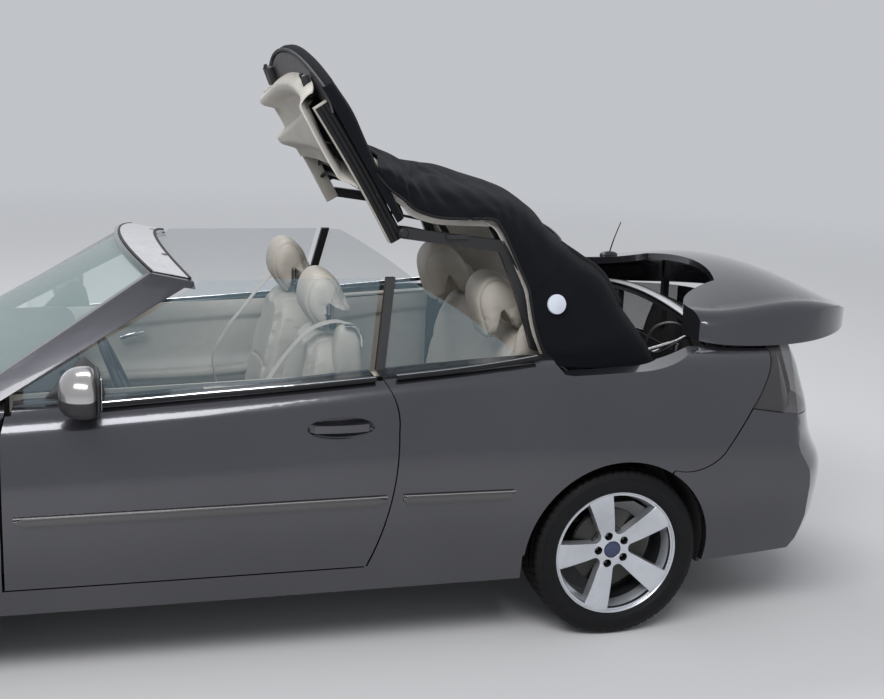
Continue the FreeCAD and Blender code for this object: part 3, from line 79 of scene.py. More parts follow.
turn[:3, 3] = CAMERA_PLACE
camera.matrix_world = Matrix(turn.tolist())
bpy.context.scene.camera = camera
bpy.context.scene.view_settings.view_transform = "Standard"
print("lens", round(camera_data.lens, 2), "mm")

# %% [markdown]
# ## Finishes
# A finish is a Principled shader whose colour, roughness and bump are worked out from the
# object's own coordinates. Python expressions stand for the Math nodes: `Value` wraps a socket,
# and adding or multiplying two of them adds the node that does it.

# %% Shader expressions
class Value:
    """One output socket of a material; arithmetic on it adds Math nodes."""

    def __init__(self, finish, socket):
        self.finish, self.socket = finish, socket

    def math(self, operation, first, second):
        """One Math node on two values or numbers."""
        return self.finish.node("ShaderNodeMath", {"operation": operation}, {0: first, 1: second})

    def __add__(self, other):
        return self.math("ADD", self, other)

    def __sub__(self, other):
        return self.math("SUBTRACT", self, other)

    def __mul__(self, other):
        return self.math("MULTIPLY", self, other)

    def __pow__(self, other):
        return self.math("POWER", self, other)

    def __rsub__(self, other):
        return self.math("SUBTRACT", other, self)

    __radd__, __rmul__ = __add__, __mul__

    def above(self, edge, width):
        """0 below edge and 1 above it, with a ramp of that width between."""
        return self.finish.node("ShaderNodeMapRange", {"interpolation_type": "SMOOTHSTEP"},
                                {0: self, 1: edge - width / 2, 2: edge + width / 2})


# %% A finish and what feeds it
class Finish:
    """A material with one Principled shader, and short ways to add what feeds it."""

    def __init__(self, name, color, roughness, **constants):
        self.material = bpy.data.materials.new(name)
        self.material.use_nodes = True
        self.tree = self.material.node_tree
        self.shader = self.tree.nodes["Principled BSDF"]
        self.shader.inputs["Base Color"].default_value = (*color, 1.0)
        self.shader.inputs["Roughness"].default_value = roughness
        for name, value in constants.items():
            self.shader.inputs[name.replace("_", " ")].default_value = value
        self.color = color
        self.material.diffuse_color = (*color, 1.0)

    def node(self, kind, settings=None, inputs=None, output=0):
        """Adds one node: its settings first, then the values or links of its sockets."""
        made = self.tree.nodes.new(kind)
        for key, value in (settings or {}).items():
            setattr(made, key, value)
        for key, value in (inputs or {}).items():
            if isinstance(value, Value):
                self.tree.links.new(value.socket, made.inputs[key])
            else:
                made.inputs[key].default_value = value
        return Value(self, made.outputs[output])

    def feed(self, name, value):
        """Links a value to one of the shader's sockets."""
        self.tree.links.new(value.socket, self.shader.inputs[name])
        return self

    def place(self, scale=(1, 1, 1)):
        """The object's own coordinates, scaled."""
        at = self.node("ShaderNodeTexCoord", output="Object")
        return self.node("ShaderNodeMapping", {"vector_type": "POINT"}, {"Vector": at, "Scale": scale})

    def noise(self, scale, detail=3.0, at=None, rough=0.5):
        """Cloudy values between 0 and 1."""
        return self.node("ShaderNodeTexNoise", {}, {
            "Vector": at or self.place(), "Scale": scale, "Detail": detail, "Roughness": rough})

    def cells(self, scale, at=None, output="Distance"):
        """Distance to the nearest of many scattered points, or that point's colour."""
        return self.node("ShaderNodeTexVoronoi", {"feature": "F1"}, {
            "Vector": at or self.place(), "Scale": scale}, output)

    def axis(self, name, at=None):
        """X, Y or Z of the coordinates."""
        return self.node("ShaderNodeSeparateXYZ", {}, {0: at or self.place()}, name)

    def mix(self, share, a, b):
        """Colour between a and b."""
        def full(c):
            return c if isinstance(c, Value) else (*c, 1.0)
        made = self.tree.nodes.new("ShaderNodeMix")
        made.data_type = "RGBA"
        for slot, value in ((0, share), (6, full(a)), (7, full(b))):
            if isinstance(value, Value):
                self.tree.links.new(value.socket, made.inputs[slot])
            else:
                made.inputs[slot].default_value = value
        return Value(self, made.outputs[2])

    def tint(self, share, low=0.8, high=1.2):
        """Varies the base colour between low and high times itself."""
        a, b = (tuple(min(c * k, 1.0) for c in self.color) for k in (low, high))
        return self.feed("Base Color", self.mix(share, a, b))

    def bump(self, height, depth, strength=1.0):
        """Tilts the surface as if it rose by height times depth metres."""
        made = self.node("ShaderNodeBump", {}, {
            "Height": height, "Distance": depth, "Strength": strength}, "Normal")
        return self.feed("Normal", made)


# %% [markdown]
# ## Paint and the other finishes
# The body is a dark warm grey metallic: a partly metallic base with fine flakes under a clear coat.
# Each other finish copies what the real material does: cloth scatters light with a soft nap,
# leather has a fine pebble grain, cast alloy is silver-painted with a slight grain, moulded
# plastic is grained, and rubber is dull with a faint bloom.

# %% Body paint
def car_paint(name, color, roughness):
    """Metallic base whose brightness is half fine flakes and half slow cloud, under a clear coat."""
    made = Finish(name, color, roughness, Metallic=0.75, Coat_Weight=1.0, Coat_Roughness=0.03)
    flakes = made.cells(1400.0, output="Color")
    flake = made.node("ShaderNodeSeparateColor", {}, {0: flakes}, 0)
    cloudy = made.noise(2.2, 2.0)
    made.tint(flake * 0.5 + cloudy * 0.5, 0.72, 1.32)
    made.feed("Roughness", made.noise(45.0, 2.0) * 0.06 + (roughness - 0.03))
    return made.material


PAINT = car_paint("paint", (0.060, 0.060, 0.070), 0.22)
MIRROR_PAINT = car_paint("mirror_paint", (0.42, 0.405, 0.40), 0.22)


# %% Metals, plastics, rubber
def grained(name, color, roughness, scale=900.0, depth=0.0004, **constants):
    """Moulded plastic or painted metal: colour drifts slightly and fine grain scatters the gloss."""
    made = Finish(name, color, roughness, **constants)
    made.tint(made.noise(14.0, 4.0), 0.86, 1.14)
    made.feed("Roughness", made.noise(60.0, 3.0) * 0.16 + (roughness - 0.08))
    made.bump(made.noise(scale, 2.0), depth, 0.5)
    return made.material


BLACK_PLASTIC = grained("black_plastic", (0.014, 0.014, 0.016), 0.52)
GLOSS_BLACK = grained("gloss_black", (0.01, 0.01, 0.011), 0.16, 300.0, 0.00005, Coat_Weight=0.6)
DARK_METAL = grained("dark_metal", (0.03, 0.03, 0.033), 0.42, 500.0, 0.0003, Metallic=0.4)
BARE_METAL = grained("bare_metal", (0.42, 0.42, 0.43), 0.34, 300.0, 0.0002, Metallic=1.0)
CAST_IRON = grained("cast_iron", (0.1, 0.098, 0.095), 0.66, 260.0, 0.001, Metallic=0.6)
ALLOY = grained("alloy", (0.62, 0.64, 0.68), 0.3, 1500.0, 0.00002, Metallic=0.8, Coat_Weight=0.35)
# Barrel and bolt-hole walls: alloy coloured near black as painted shade for the deep inside of the wheel.
ALLOY_PAINTED_SHADE = grained("alloy_painted_shade", (0.035, 0.036, 0.04), 0.5, 300.0, 0.0003, Metallic=0.6)
HEADER = grained("header_shell", (0.6, 0.6, 0.62), 0.3, 800.0, 0.0001, Metallic=0.35, Coat_Weight=0.3)
TRIM = grained("trim", (0.5, 0.47, 0.41), 0.56, 1200.0, 0.0004)
TRIM_DARK = grained("trim_dark", (0.045, 0.044, 0.046), 0.5, 1200.0, 0.0005)
RUBBER = grained("rubber", (0.005, 0.005, 0.006), 0.55, 400.0, 0.0001, Specular_IOR_Level=0.35)
UNDERSEAL = grained("underseal", (0.03, 0.03, 0.031), 0.8, 120.0, 0.002)
# Brake disc: its own dark iron, darkened further as painted shade for the deep inside of the wheel.
DISC_STEEL_PAINTED_SHADE = grained("disc_steel_painted_shade", (0.07, 0.068, 0.066), 0.42, 500.0, 0.0002, Metallic=1.0)


# %% Leather, cloth and lining
def leather(name, color):
    """Pebble grain from scattered cells, and creases from rough noise; the colour darkens where the creases
    sink, as painted shade, and drifts with slow noise.
    """
    made = Finish(name, color, 0.46, Coat_Weight=0.06, Coat_Roughness=0.35)
    grain = made.cells(420.0)
    creases = made.noise(24.0, 5.0, rough=0.6)
    # Painted shade: the colour darkens where the crease noise sinks the bump; slow noise adds random tone.
    made.tint(creases * 0.7 + made.noise(6.0) * 0.3, 0.84, 1.12)
    made.feed("Roughness", made.noise(80.0) * 0.16 + 0.38)
    made.bump(grain * 0.5 + creases, 0.0012, 0.55)
    return made.material


def cloth(name, color, nap, scale=650.0):
    """Diagonal weave plus noise as bump, patchy wear as colour, and a sheen for the nap."""
    made = Finish(name, color, 0.9, Sheen_Weight=nap, Sheen_Roughness=0.4, Specular_IOR_Level=0.2)
    weave = made.node("ShaderNodeTexWave", {"bands_direction": "DIAGONAL"},
                      {"Vector": made.place(), "Scale": scale, "Distortion": 1.2})
    wear = made.noise(5.0, 6.0, rough=0.62)
    made.tint(wear * 0.75 + made.noise(160.0) * 0.25, 0.6, 1.5)
    made.bump(made.noise(scale, 2.0) + weave, 0.0006, 0.5)
    return made.material


LEATHER = leather("leather", (0.50, 0.465, 0.41))
LEATHER_DARK = leather("leather_dark", (0.03, 0.03, 0.032))
ROOF_CLOTH = cloth("roof_cloth", (0.0030, 0.0038, 0.0064), 0.03)
LINING = cloth("lining", (0.56, 0.53, 0.48), 0.2)
CARPET = cloth("carpet", (0.2, 0.18, 0.155), 0.5, 300.0)


# %% Glass and lamps
def clear(name, color, alpha, roughness=0.03, edge=0.5, **constants):
    """See-through glass: mostly open when looked at square on, more mirror-like at a glance."""
    made = Finish(name, color, roughness, Specular_IOR_Level=0.5, **constants)
    facing = made.node("ShaderNodeLayerWeight", {}, {"Blend": 0.35}, "Facing")
    made.feed("Alpha", (facing ** 2.0) * edge + alpha)
    made.feed("Roughness", made.noise(3.0, 2.0) * 0.02 + roughness)
    return made.material


GLASS = clear("glass", (0.24, 0.34, 0.39), 0.13)
SCREEN_GLASS = clear("screen_glass", (0.4, 0.5, 0.5), 0.2)
LAMP_CLEAR = clear("lamp_clear", (0.8, 0.82, 0.85), 0.14, 0.02, 0.4)
LAMP_SMOKED = clear("lamp_smoked", (0.06, 0.055, 0.06), 0.5, 0.03, 0.4, Coat_Weight=0.8)
REFLECTOR = grained("reflector", (0.72, 0.73, 0.75), 0.12, 200.0, 0.0002, Metallic=1.0)
CAP_BLUE = grained("cap_blue", (0.02, 0.03, 0.085), 0.25, 300.0, 0.0001, Coat_Weight=0.6)


# %% Tyre rubber
def tyre_rubber():
    """Dull black with a faint bloom: slow noise in colour and gloss, fine noise as bump."""
    made = Finish("tyre_rubber", (0.0024, 0.0025, 0.003), 0.7, Specular_IOR_Level=0.25)
    made.tint(made.noise(9.0, 5.0), 0.7, 1.7)
    made.feed("Roughness", made.noise(30.0, 4.0) * 0.2 + 0.5)
    made.bump(made.noise(700.0, 2.0), 0.0004, 0.5)
    return made.material


TYRE = tyre_rubber()
print(len(bpy.data.materials), "materials, with the ones that came with the frame")

# %% [markdown]
# ## Meshes from formulas
# Every new surface is a grid of points worked out with numpy: rows of rings, or a profile carried
# along a path. `build` joins grids into one mesh, closes seams and poles by merging the points
# that coincide, and turns the faces outwards.

# %% From grids to pieces
COLLECTION = bpy.context.scene.collection
SHARP = math.radians(32)
WELD = 2e-5
SIDES = (("left", -1), ("right", 1))
MADE = {}


def grid_faces(rows, columns, close_rows, close_columns, start, flip):
    """Quads between neighbouring points of a grid, as rows of four indices."""
    r = np.arange(rows if close_rows else rows - 1)
    c = np.arange(columns if close_columns else columns - 1)
    r, c = (a.ravel() for a in np.meshgrid(r, c, indexing="ij"))
    nr, nc = (r + 1) % rows, (c + 1) % columns
    quads = np.stack([r * columns + c, nr * columns + c, nr * columns + nc, r * columns + nc], axis=1)
    quads = quads + start
    return quads[:, ::-1] if flip else quads


def link_mesh(name, points, faces):
    """A mesh object from an array of points and lists of their indices."""
    mesh = bpy.data.meshes.new(name)
    mesh.from_pydata(points.tolist(), [], faces)
    piece = bpy.data.objects.new(name, mesh)
    COLLECTION.objects.link(piece)
    return piece


def build(name, grids, material, body, replaces=(), closed=True, flip=False, sharp=SHARP):
    """One piece from grids (rows, columns, 3), each with flags for closing rows and columns."""
    points, faces, start = [], [], 0
    for item in grids:
        shape, close_rows, close_columns = item if isinstance(item, tuple) else (item, False, False)
        rows, columns = shape.shape[:2]
        faces.append(grid_faces(rows, columns, close_rows, close_columns, start, flip))
        points.append(shape.reshape(-1, 3))
        start += rows * columns
    points, faces = np.concatenate(points), np.concatenate(faces)
    places = np.round(points / WELD).astype(np.int64)
    _, keep, back = np.unique(places, axis=0, return_index=True, return_inverse=True)
    outlines = [list(dict.fromkeys(face)) for face in back.ravel()[faces].tolist()]
    piece = link_mesh(name, points[keep], [face for face in outlines if len(face) > 2])
    piece.data.validate()
    return finish_piece(piece, material, body, replaces, closed, sharp)


def solid(name, grid, material, body, replaces=()):
    """A closed piece from one grid whose columns go round and whose ends meet in points."""
    return build(name, [(grid, False, True)], material, body, replaces)


# %% Finishing and counting pieces
def finish_piece(piece, material, body, replaces=(), closed=True, sharp=SHARP):
    """Turns faces outwards, shades them smooth up to an angle, and puts the piece on its body."""
    mesh = piece.data
    if closed:
        work = bmesh.new()
        work.from_mesh(mesh)
        bmesh.ops.recalc_face_normals(work, faces=work.faces)
        work.to_mesh(mesh)
        work.free()
    mesh.polygons.foreach_set("use_smooth", np.ones(len(mesh.polygons), bool))
    mesh.set_sharp_from_angle(angle=sharp)
    mesh.materials.clear()
    mesh.materials.append(material)
    MADE[piece.name] = len(mesh.polygons)
    if body:
        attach(piece, body)
    if replaces:
        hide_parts(*replaces)
    return piece


def tell(what):
    """Prints how many pieces were made since the last call, and how many faces they have."""
    print(what + ":", len(MADE), "pieces,", sum(MADE.values()), "faces")
    MADE.clear()


# %% Curves and rings used by many pieces
def smooth_line(points, count):
    """Catmull-Rom curve through the points: each stretch blends four neighbours by cubic weights."""
    p = np.asarray(points, float)
    p = np.vstack([2 * p[0] - p[1], p, 2 * p[-1] - p[-2]])
    u = np.linspace(0, len(p) - 3, count)
    i = np.minimum(u.astype(int), len(p) - 4)
    t = (u - i)[:, None]
    a, b, c, d = p[i], p[i + 1], p[i + 2], p[i + 3]
    square, cube = 2 * a - 5 * b + 4 * c - d, 3 * b - a - 3 * c + d
    return 0.5 * (2 * b + (c - a) * t + square * t ** 2 + cube * t ** 3)


def even(points, count):
    """The same broken line with its points spread evenly by length."""
    p = np.asarray(points, float)
    run = np.concatenate([[0], np.cumsum(np.linalg.norm(np.diff(p, axis=0), axis=1))])
    at = np.linspace(0, run[-1], count)
    return np.stack([np.interp(at, run, p[:, k]) for k in range(p.shape[1])], axis=1)


def ring(width, height, count=16, power=2.0):
    """Closed outline |u/w|^p + |v/h|^p = 1: p 2 is an ellipse, larger p squares its corners."""
    a = np.linspace(0, 2 * np.pi, count, endpoint=False)
    c, s = np.cos(a), np.sin(a)
    return np.stack([np.sign(c) * np.abs(c) ** (2 / power) * width / 2,
                     np.sign(s) * np.abs(s) ** (2 / power) * height / 2], axis=1)


# %% Carrying an outline along a path
def carry(path, outline, side=(0, 1, 0), size=None):
    """A closed outline carried along a path: u runs along side, v square to side and to the path."""
    path = np.asarray(path, float)
    along = np.gradient(path, axis=0)
    along /= np.linalg.norm(along, axis=1)[:, None]
    side = np.broadcast_to(np.asarray(side, float), path.shape)
    u = side - (side * along).sum(1)[:, None] * along
    u /= np.linalg.norm(u, axis=1)[:, None]
    v = np.cross(along, u)
    size = np.ones(len(path)) if size is None else np.asarray(size, float)
    o = np.asarray(outline)[None] * size[:, None, None]
    return path[:, None] + o[..., :1] * u[:, None] + o[..., 1:] * v[:, None]


def capped(tube):
    """A tube of rings with its two ends drawn in to their middle points, so that it is closed."""
    first, last = (np.broadcast_to(r.mean(0), r.shape)[None] for r in (tube[0], tube[-1]))
    return np.concatenate([first, tube, last])


def tube(name, path, outline, material, body, slot=None, side=(0, 1, 0), size=None, smooth=0):
    """A closed piece: the outline carried along a path, which can first be made a smooth curve."""
    path = smooth_line(path, smooth) if smooth else path
    return solid(name, capped(carry(path, outline, side, size)), material, body)


# %% Turned and full-cornered shapes
def revolved(profile, centre, count, out=1.0):
    """Profile of (radius, y) turned round a line along Y through centre; y grows outwards."""
    a = np.linspace(0, 2 * np.pi, count, endpoint=False)
    r, w = np.asarray(profile, float).T
    x = centre[0] + r[None] * np.cos(a)[:, None]
    z = centre[2] + r[None] * np.sin(a)[:, None]
    y = np.broadcast_to(centre[1] + out * w[None], x.shape)
    return np.stack([x, y, z], axis=-1)


def turned(name, profile, centre, count, out, material, body, replaces=()):
    """An open piece from one profile turned round a line along Y."""
    grids = [(revolved(profile, centre, count, out), True, False)]
    return build(name, grids, material, body, replaces, closed=False, flip=out > 0)


def pillow(centre, size, power, count, shape=None):
    """Superellipsoid: latitude and longitude with their sines raised to 2/p, so it is full."""
    lat = np.linspace(-np.pi / 2, np.pi / 2, count[0])[:, None]
    lon = np.linspace(0, 2 * np.pi, count[1], endpoint=False)[None]

    def full(value, p):
        return np.sign(value) * np.abs(value) ** (2 / p)

    x = full(np.cos(lat), power[0]) * full(np.cos(lon), power[1])
    y = full(np.cos(lat), power[0]) * full(np.sin(lon), power[1])
    z = np.broadcast_to(full(np.sin(lat), power[0]), x.shape)
    p = np.stack([x, y, z], axis=-1)
    if shape is not None:
        p = shape(p)
    return p * np.asarray(size) / 2 + np.asarray(centre)


def mirror_y(points):
    """The same points on the car's other side."""
    return np.asarray(points, float) * (1, -1, 1)


# %% [markdown]
# ## CAD nodes that stay
# Panels whose shape is already right keep the CAD mesh. It is made of loose triangles, so a small
# geometry-nodes modifier joins them and shades the curved faces smooth, while edges stay crisp.

# %% Smoothing for CAD nodes
def soften_group():
    """Joins coincident points, shades smooth, and keeps edges sharper than the limit crisp."""
    tree = bpy.data.node_groups.new("soften", "GeometryNodeTree")
    tree.interface.new_socket("Geometry", in_out="INPUT", socket_type="NodeSocketGeometry")
    tree.interface.new_socket("Geometry", in_out="OUTPUT", socket_type="NodeSocketGeometry")
    n = tree.nodes
    start, end = n.new("NodeGroupInput"), n.new("NodeGroupOutput")
    drop = n.new("GeometryNodeRemoveAttribute")
    drop.inputs["Name"].default_value = "custom_normal"
    join = n.new("GeometryNodeMergeByDistance")
    join.inputs["Distance"].default_value = WELD
    faces = n.new("GeometryNodeSetShadeSmooth")
    faces.domain = "FACE"
    edges = n.new("GeometryNodeSetShadeSmooth")
    edges.domain = "EDGE"
    angle = n.new("GeometryNodeInputMeshEdgeAngle")
    limit = n.new("FunctionNodeCompare")
    limit.data_type, limit.operation = "FLOAT", "LESS_THAN"
    limit.inputs[1].default_value = SHARP
    link = tree.links.new
    link(start.outputs[0], drop.inputs[0])
    link(drop.outputs[0], join.inputs[0])
    link(join.outputs[0], faces.inputs[0])
    link(faces.outputs[0], edges.inputs[0])
    link(angle.outputs["Unsigned Angle"], limit.inputs[0])
    link(limit.outputs[0], edges.inputs["Shade Smooth"])
    link(edges.outputs[0], end.inputs[0])
    return tree


SOFTEN = soften_group()


# %% Finishes of the CAD nodes
def dress(material, *names, bevel=0.0):
    """Gives CAD nodes their finish, smooth shading and, if asked, softly rounded edges."""
    for name in names:
        node = NODES[name]
        node.data.materials.clear()
        node.data.materials.append(material)
        soften = node.modifiers.new("soften", "NODES")
        soften.node_group = SOFTEN
        if bevel:
            edge = node.modifiers.new("edge", "BEVEL")
            edge.width, edge.segments, edge.limit_method = bevel, 2, "ANGLE"
            edge.angle_limit, edge.harden_normals = math.radians(40), True


dress(PAINT, "hood", "front_fenders", "front_bumper", "sills", "rear_quarters", "tail_panel", "rear_bumper",
      "door_left", "door_right", "deck_panel", "deck_rim", "windscreen_frame")
dress(BLACK_PLASTIC, "cowl", "grille", "fuel_tank", "quarter_dividers", "dashboard")
dress(GLASS, "door_glass_left", "door_glass_right", "quarter_glass", "rear_window")
dress(SCREEN_GLASS, "windscreen")
dress(LAMP_CLEAR, "headlamps")
dress(LAMP_SMOKED, "tail_lamps")
dress(MIRROR_PAINT, "mirror_left", "mirror_right")
dress(TRIM, "console", "roof_front_frame")
dress(LEATHER, "front_seats", "rear_seat")
dress(LEATHER_DARK, "steering_wheel")
dress(DARK_METAL, "roof_well", "radiator", "front_subframe", "rear_axle", "deck_arms", "roof_side_rails")
dress(CAST_IRON, "engine", "knuckle_left", "knuckle_right")
dress(BARE_METAL, "exhaust")
dress(UNDERSEAL, "underbody", "wheelhouses")
dress(ROOF_CLOTH, "roof_rear_cover", "roof_front_cover")
print(len(NODES), "CAD nodes in the frame")

# %% [markdown]
# ## Road wheels
# A cast wheel has a barrel that carries the tyre and a face of five broad spokes. The face could
# be five separate bars, but cast spokes flow into each other, so each fifth of the face is one
# surface stretched between the rounded opening and the fifth's own border. The wheel bolts sit at
# the spokes' roots, so the border runs round half of each bolt hole.

# %% Where the parts of a wheel lie
WHEELS = {"front_left": (-1.495, -0.762), "front_right": (-1.495, 0.762),
          "rear_left": (1.18, -0.756), "rear_right": (1.18, 0.756)}
AXLE_HEIGHT, FACE_OUT = 0.317, 0.098
SPOKES, BOLT_RING, BOLT_HOLE, CAP = 5, 0.055, 0.0155, 0.0325
FACE_TURN, HALF_FIFTH = math.radians(-18.5), math.pi / SPOKES
OPENING_TOP, FACE_EDGE, BOLT_RUN, SPOKE_DEPTH = 0.2255, 0.2275, 0.082, 0.042
FLANK_START, FLANK_END, ROOT_HALF, TIP_HALF = 0.062, 0.226, 0.0275, 0.0495
VALLEY_RADIUS = 0.021


# %% Half of a fifth: its opening and its border
def on_circle(radius, angles):
    """Points (across, out) at angles from the middle of a fifth: radius times (sin, cos)."""
    return radius * np.stack([np.sin(angles), np.cos(angles)], axis=1)


def flank(along):
    """Point of the spoke's side: the half width grows evenly outwards; turned by half a fifth."""
    c, s = math.cos(HALF_FIFTH), math.sin(HALF_FIFTH)
    half = ROOT_HALF + (TIP_HALF - ROOT_HALF) * (along - FLANK_START) / (FLANK_END - FLANK_START)
    return np.array([along * s - half * c, along * c + half * s])


def half_opening(valley_count, edge_count, top_count):
    """An arc in the valley between two spokes, the spoke's flank, and an arc along the rim."""
    low, high = flank(0.058), flank(0.214)
    rise = high - low
    apex = np.array([0.0, low[1] - low[0] / rise[0] * rise[1]])
    angle = math.atan2(*rise)
    centre = apex + np.array([0, VALLEY_RADIUS / math.sin(angle)])
    a = np.linspace(-math.pi / 2, -angle, valley_count)
    valley = centre + VALLEY_RADIUS * np.stack([np.cos(a), np.sin(a)], axis=1)
    edge = even(np.vstack([valley[-1], flank(0.221)]), edge_count + 1)[1:]
    reach = math.atan2(*edge[-1]) - 0.004
    return np.vstack([valley, edge, on_circle(OPENING_TOP, np.linspace(reach, 0, top_count))])


def half_border(base_count, hole_count, run_count, rim_count):
    """The cap's edge, then out along the spoke's middle round half a bolt hole, then the rim."""
    c, s = math.cos(HALF_FIFTH), math.sin(HALF_FIFTH)
    out, across = np.array([s, c]), np.array([-c, s])
    a = np.linspace(math.pi, 0, hole_count)
    hole = (BOLT_RING + BOLT_HOLE * np.cos(a))[:, None] * out + (BOLT_HOLE * np.sin(a))[:, None] * across
    stem = np.linspace(CAP, BOLT_RING - BOLT_HOLE, 4)[1:-1, None] * out
    run_up = np.linspace(BOLT_RING + BOLT_HOLE, BOLT_RUN, 5)[1:, None] * out
    long_run = np.linspace(BOLT_RUN, FACE_EDGE, run_count + 1)[1:, None] * out
    base = on_circle(CAP, np.linspace(0, HALF_FIFTH, base_count))
    rim = on_circle(FACE_EDGE, np.linspace(HALF_FIFTH, 0, rim_count))
    return np.vstack([base, stem, hole, run_up, long_run, rim])


# %% The whole face
def face_height(radius):
    """How far the spoke's face lies inside the rim's plane: flat at the rim, dished to the hub."""
    t = np.clip((0.224 - radius) / (0.224 - 0.07), 0, 1)
    return -0.0025 - 0.034 * t ** 1.3


def wheel_face(x, y, out):
    """Front, side walls and back of the spokes: each point is a share of the way across a half
    fifth, from the opening to the border; the halves are mirrored and turned round the axle."""
    opening, border = half_opening(10, 40, 16), half_border(10, 16, 18, 16)
    share = np.array([0, 0.012, 0.03, 0.07, 0.2, 0.4, 0.6, 0.8, 1.0])[:, None, None]
    rounding = np.array([0.004, 0.0014, 0.0004, 0, 0, 0, 0, 0, 0])[:, None]
    flat = opening[None] * (1 - share) + border[None] * share
    front = face_height(np.linalg.norm(flat, axis=-1)) - rounding
    wall_share = np.linspace(0, 1, 5)[:, None]
    wall = np.broadcast_to(opening[None], (5,) + opening.shape)
    wall_foot = face_height(np.linalg.norm(opening, axis=-1)) - SPOKE_DEPTH
    wall_height = front[0][None] * (1 - wall_share) + wall_foot * wall_share
    back = flat[::2]
    back_height = face_height(np.linalg.norm(back, axis=-1)) - SPOKE_DEPTH
    grids = []
    for flip in (1, -1):
        for fifth in range(SPOKES):
            angle = FACE_TURN + HALF_FIFTH + fifth * 2 * HALF_FIFTH
            c, s = math.cos(angle), math.sin(angle)
            for plane, height in ((flat, front), (wall, wall_height), (back, back_height)):
                u, v = plane[..., 0] * flip, plane[..., 1]
                gx, gz = u * c + v * s, -u * s + v * c
                grids.append(np.stack([x + gx, y + out * height, AXLE_HEIGHT + gz], axis=-1))
    return grids


# %% Profiles of the turned parts, as (radius, distance outwards from the face)
LIP = [(0.2190, -0.009), (0.2338, -0.008), (0.2338, -0.001), (0.2327, 0.0005), (0.2300, 0.0005),
       (0.2287, -0.001), (0.2270, -0.003), (0.2245, -0.008), (0.2200, -0.018), (0.2135, -0.032),
       (0.2075, -0.048), (0.2045, -0.062)]
BARREL = [(0.2045, -0.062), (0.2030, -0.090), (0.2030, -0.130), (0.2060, -0.165), (0.2150, -0.185),
          (0.2290, -0.190), (0.2305, -0.196), (0.2275, -0.196), (0.2190, -0.192), (0.2176, -0.186),
          (0.2176, -0.012), (0.2190, -0.009)]
CAP_SHAPE = [(0.0, 0.0042), (0.014, 0.0038), (0.024, 0.0026), (0.0285, 0.0008), (0.0302, -0.002),
             (0.0302, -0.012)]
HUB_BACK = [(0.0326, 0.0005), (0.0314, -0.001), (0.0308, -0.006), (0.0308, -0.040), (0.0, -0.040)]
BOLT = [(0.0, -0.020), (0.0070, -0.020), (0.0088, -0.022), (0.0088, -0.038)]
HOLE_WALL = [(BOLT_HOLE, 0.0), (BOLT_HOLE - 0.0008, -0.002), (BOLT_HOLE - 0.0012, -0.034), (0.0, -0.036)]
DISC = [(0.060, -0.064), (0.078, -0.064), (0.078, -0.072), (0.082, -0.074), (0.146, -0.074),
        (0.1463, -0.078), (0.138, -0.081), (0.138, -0.084), (0.1463, -0.087), (0.146, -0.092),
        (0.082, -0.092), (0.06, -0.092)]

# %% Four wheels
for key, (wx, wy) in WHEELS.items():
    out = math.copysign(1.0, wy)
    face = wy + out * FACE_OUT
    centre, body, name = (wx, face, AXLE_HEIGHT), key + "_wheel", "wheel_" + key
    hub_y = face + out * face_height(np.array(0.03))
    grids = wheel_face(wx, face, out)
    grids.append((revolved(LIP, centre, 120, out), True, False))
    grids.append((revolved(HUB_BACK, (wx, hub_y, AXLE_HEIGHT), 48, out), True, False))
    build(name + "_alloy", grids, ALLOY, body, [name], closed=False, flip=out > 0)
    # The barrel beyond the lip is coloured near black: painted shade inside the wheel.
    turned(name + "_barrel", BARREL, centre, 96, out, ALLOY_PAINTED_SHADE, body)
    turned(name + "_cap", CAP_SHAPE, (wx, hub_y - out * 0.001, AXLE_HEIGHT), 40, out, CAP_BLUE, body)
    angles = [FACE_TURN + i * 2 * HALF_FIFTH for i in range(SPOKES)]
    places = [(wx + BOLT_RING * math.sin(a), hub_y, AXLE_HEIGHT + BOLT_RING * math.cos(a)) for a in angles]
    # The bolt holes' walls are coloured near black too: painted shade inside each hole.
    for part, profile, count, material in (("_bolts", BOLT, 12, BARE_METAL),
                                           ("_holes", HOLE_WALL, 20, ALLOY_PAINTED_SHADE)):
        grids = [(revolved(profile, place, count, out), True, False) for place in places]
        build(name + part, grids, material, body, closed=False, flip=out > 0)
    # The disc's dark colour is partly its own iron and partly painted shade inside the wheel.
    build(name + "_disc", [(revolved(DISC, centre, 72, out), True, True)], DISC_STEEL_PAINTED_SHADE, body)
tell("wheels")

# %% [markdown]
# ## Tyres
# A tyre is a profile turned round the axle. The tread's grooves are cut into the profile where
# they run round it, and into the turned surface where they run across it, by lowering the radius
# inside each groove. The sidewall has plain raised rings and no lettering.

# %% Profile of half a tyre, from bead to tread, as (radius, distance from the middle)
HALF_TYRE = np.array([
    (0.2180, 0.0870), (0.2352, 0.0874), (0.2356, 0.0990), (0.2400, 0.1030), (0.2440, 0.1042),
    (0.2450, 0.1066), (0.2480, 0.1086), (0.2560, 0.1108), (0.2680, 0.1123), (0.2790, 0.1118),
    (0.2850, 0.1104), (0.2856, 0.1110), (0.2872, 0.1106), (0.2878, 0.1092), (0.2950, 0.1062),
    (0.3000, 0.1040), (0.3060, 0.1010), (0.3110, 0.0965), (0.3140, 0.0905), (0.3156, 0.0840),
    (0.3162, 0.0760), (0.3164, 0.0640), (0.3100, 0.0630), (0.3100, 0.0560), (0.3167, 0.0550),
    (0.3169, 0.0400), (0.3169, 0.0250), (0.3100, 0.0240), (0.3100, 0.0160), (0.3170, 0.0150),
    (0.3170, 0.0000)])
TYRE_INSIDE = np.array([(0.2300, -0.0760), (0.2300, 0.0760)])
TREAD_RADIUS, SHOULDER_RADIUS = 0.3145, 0.3045
BLOCKS, STEPS = 64, 6


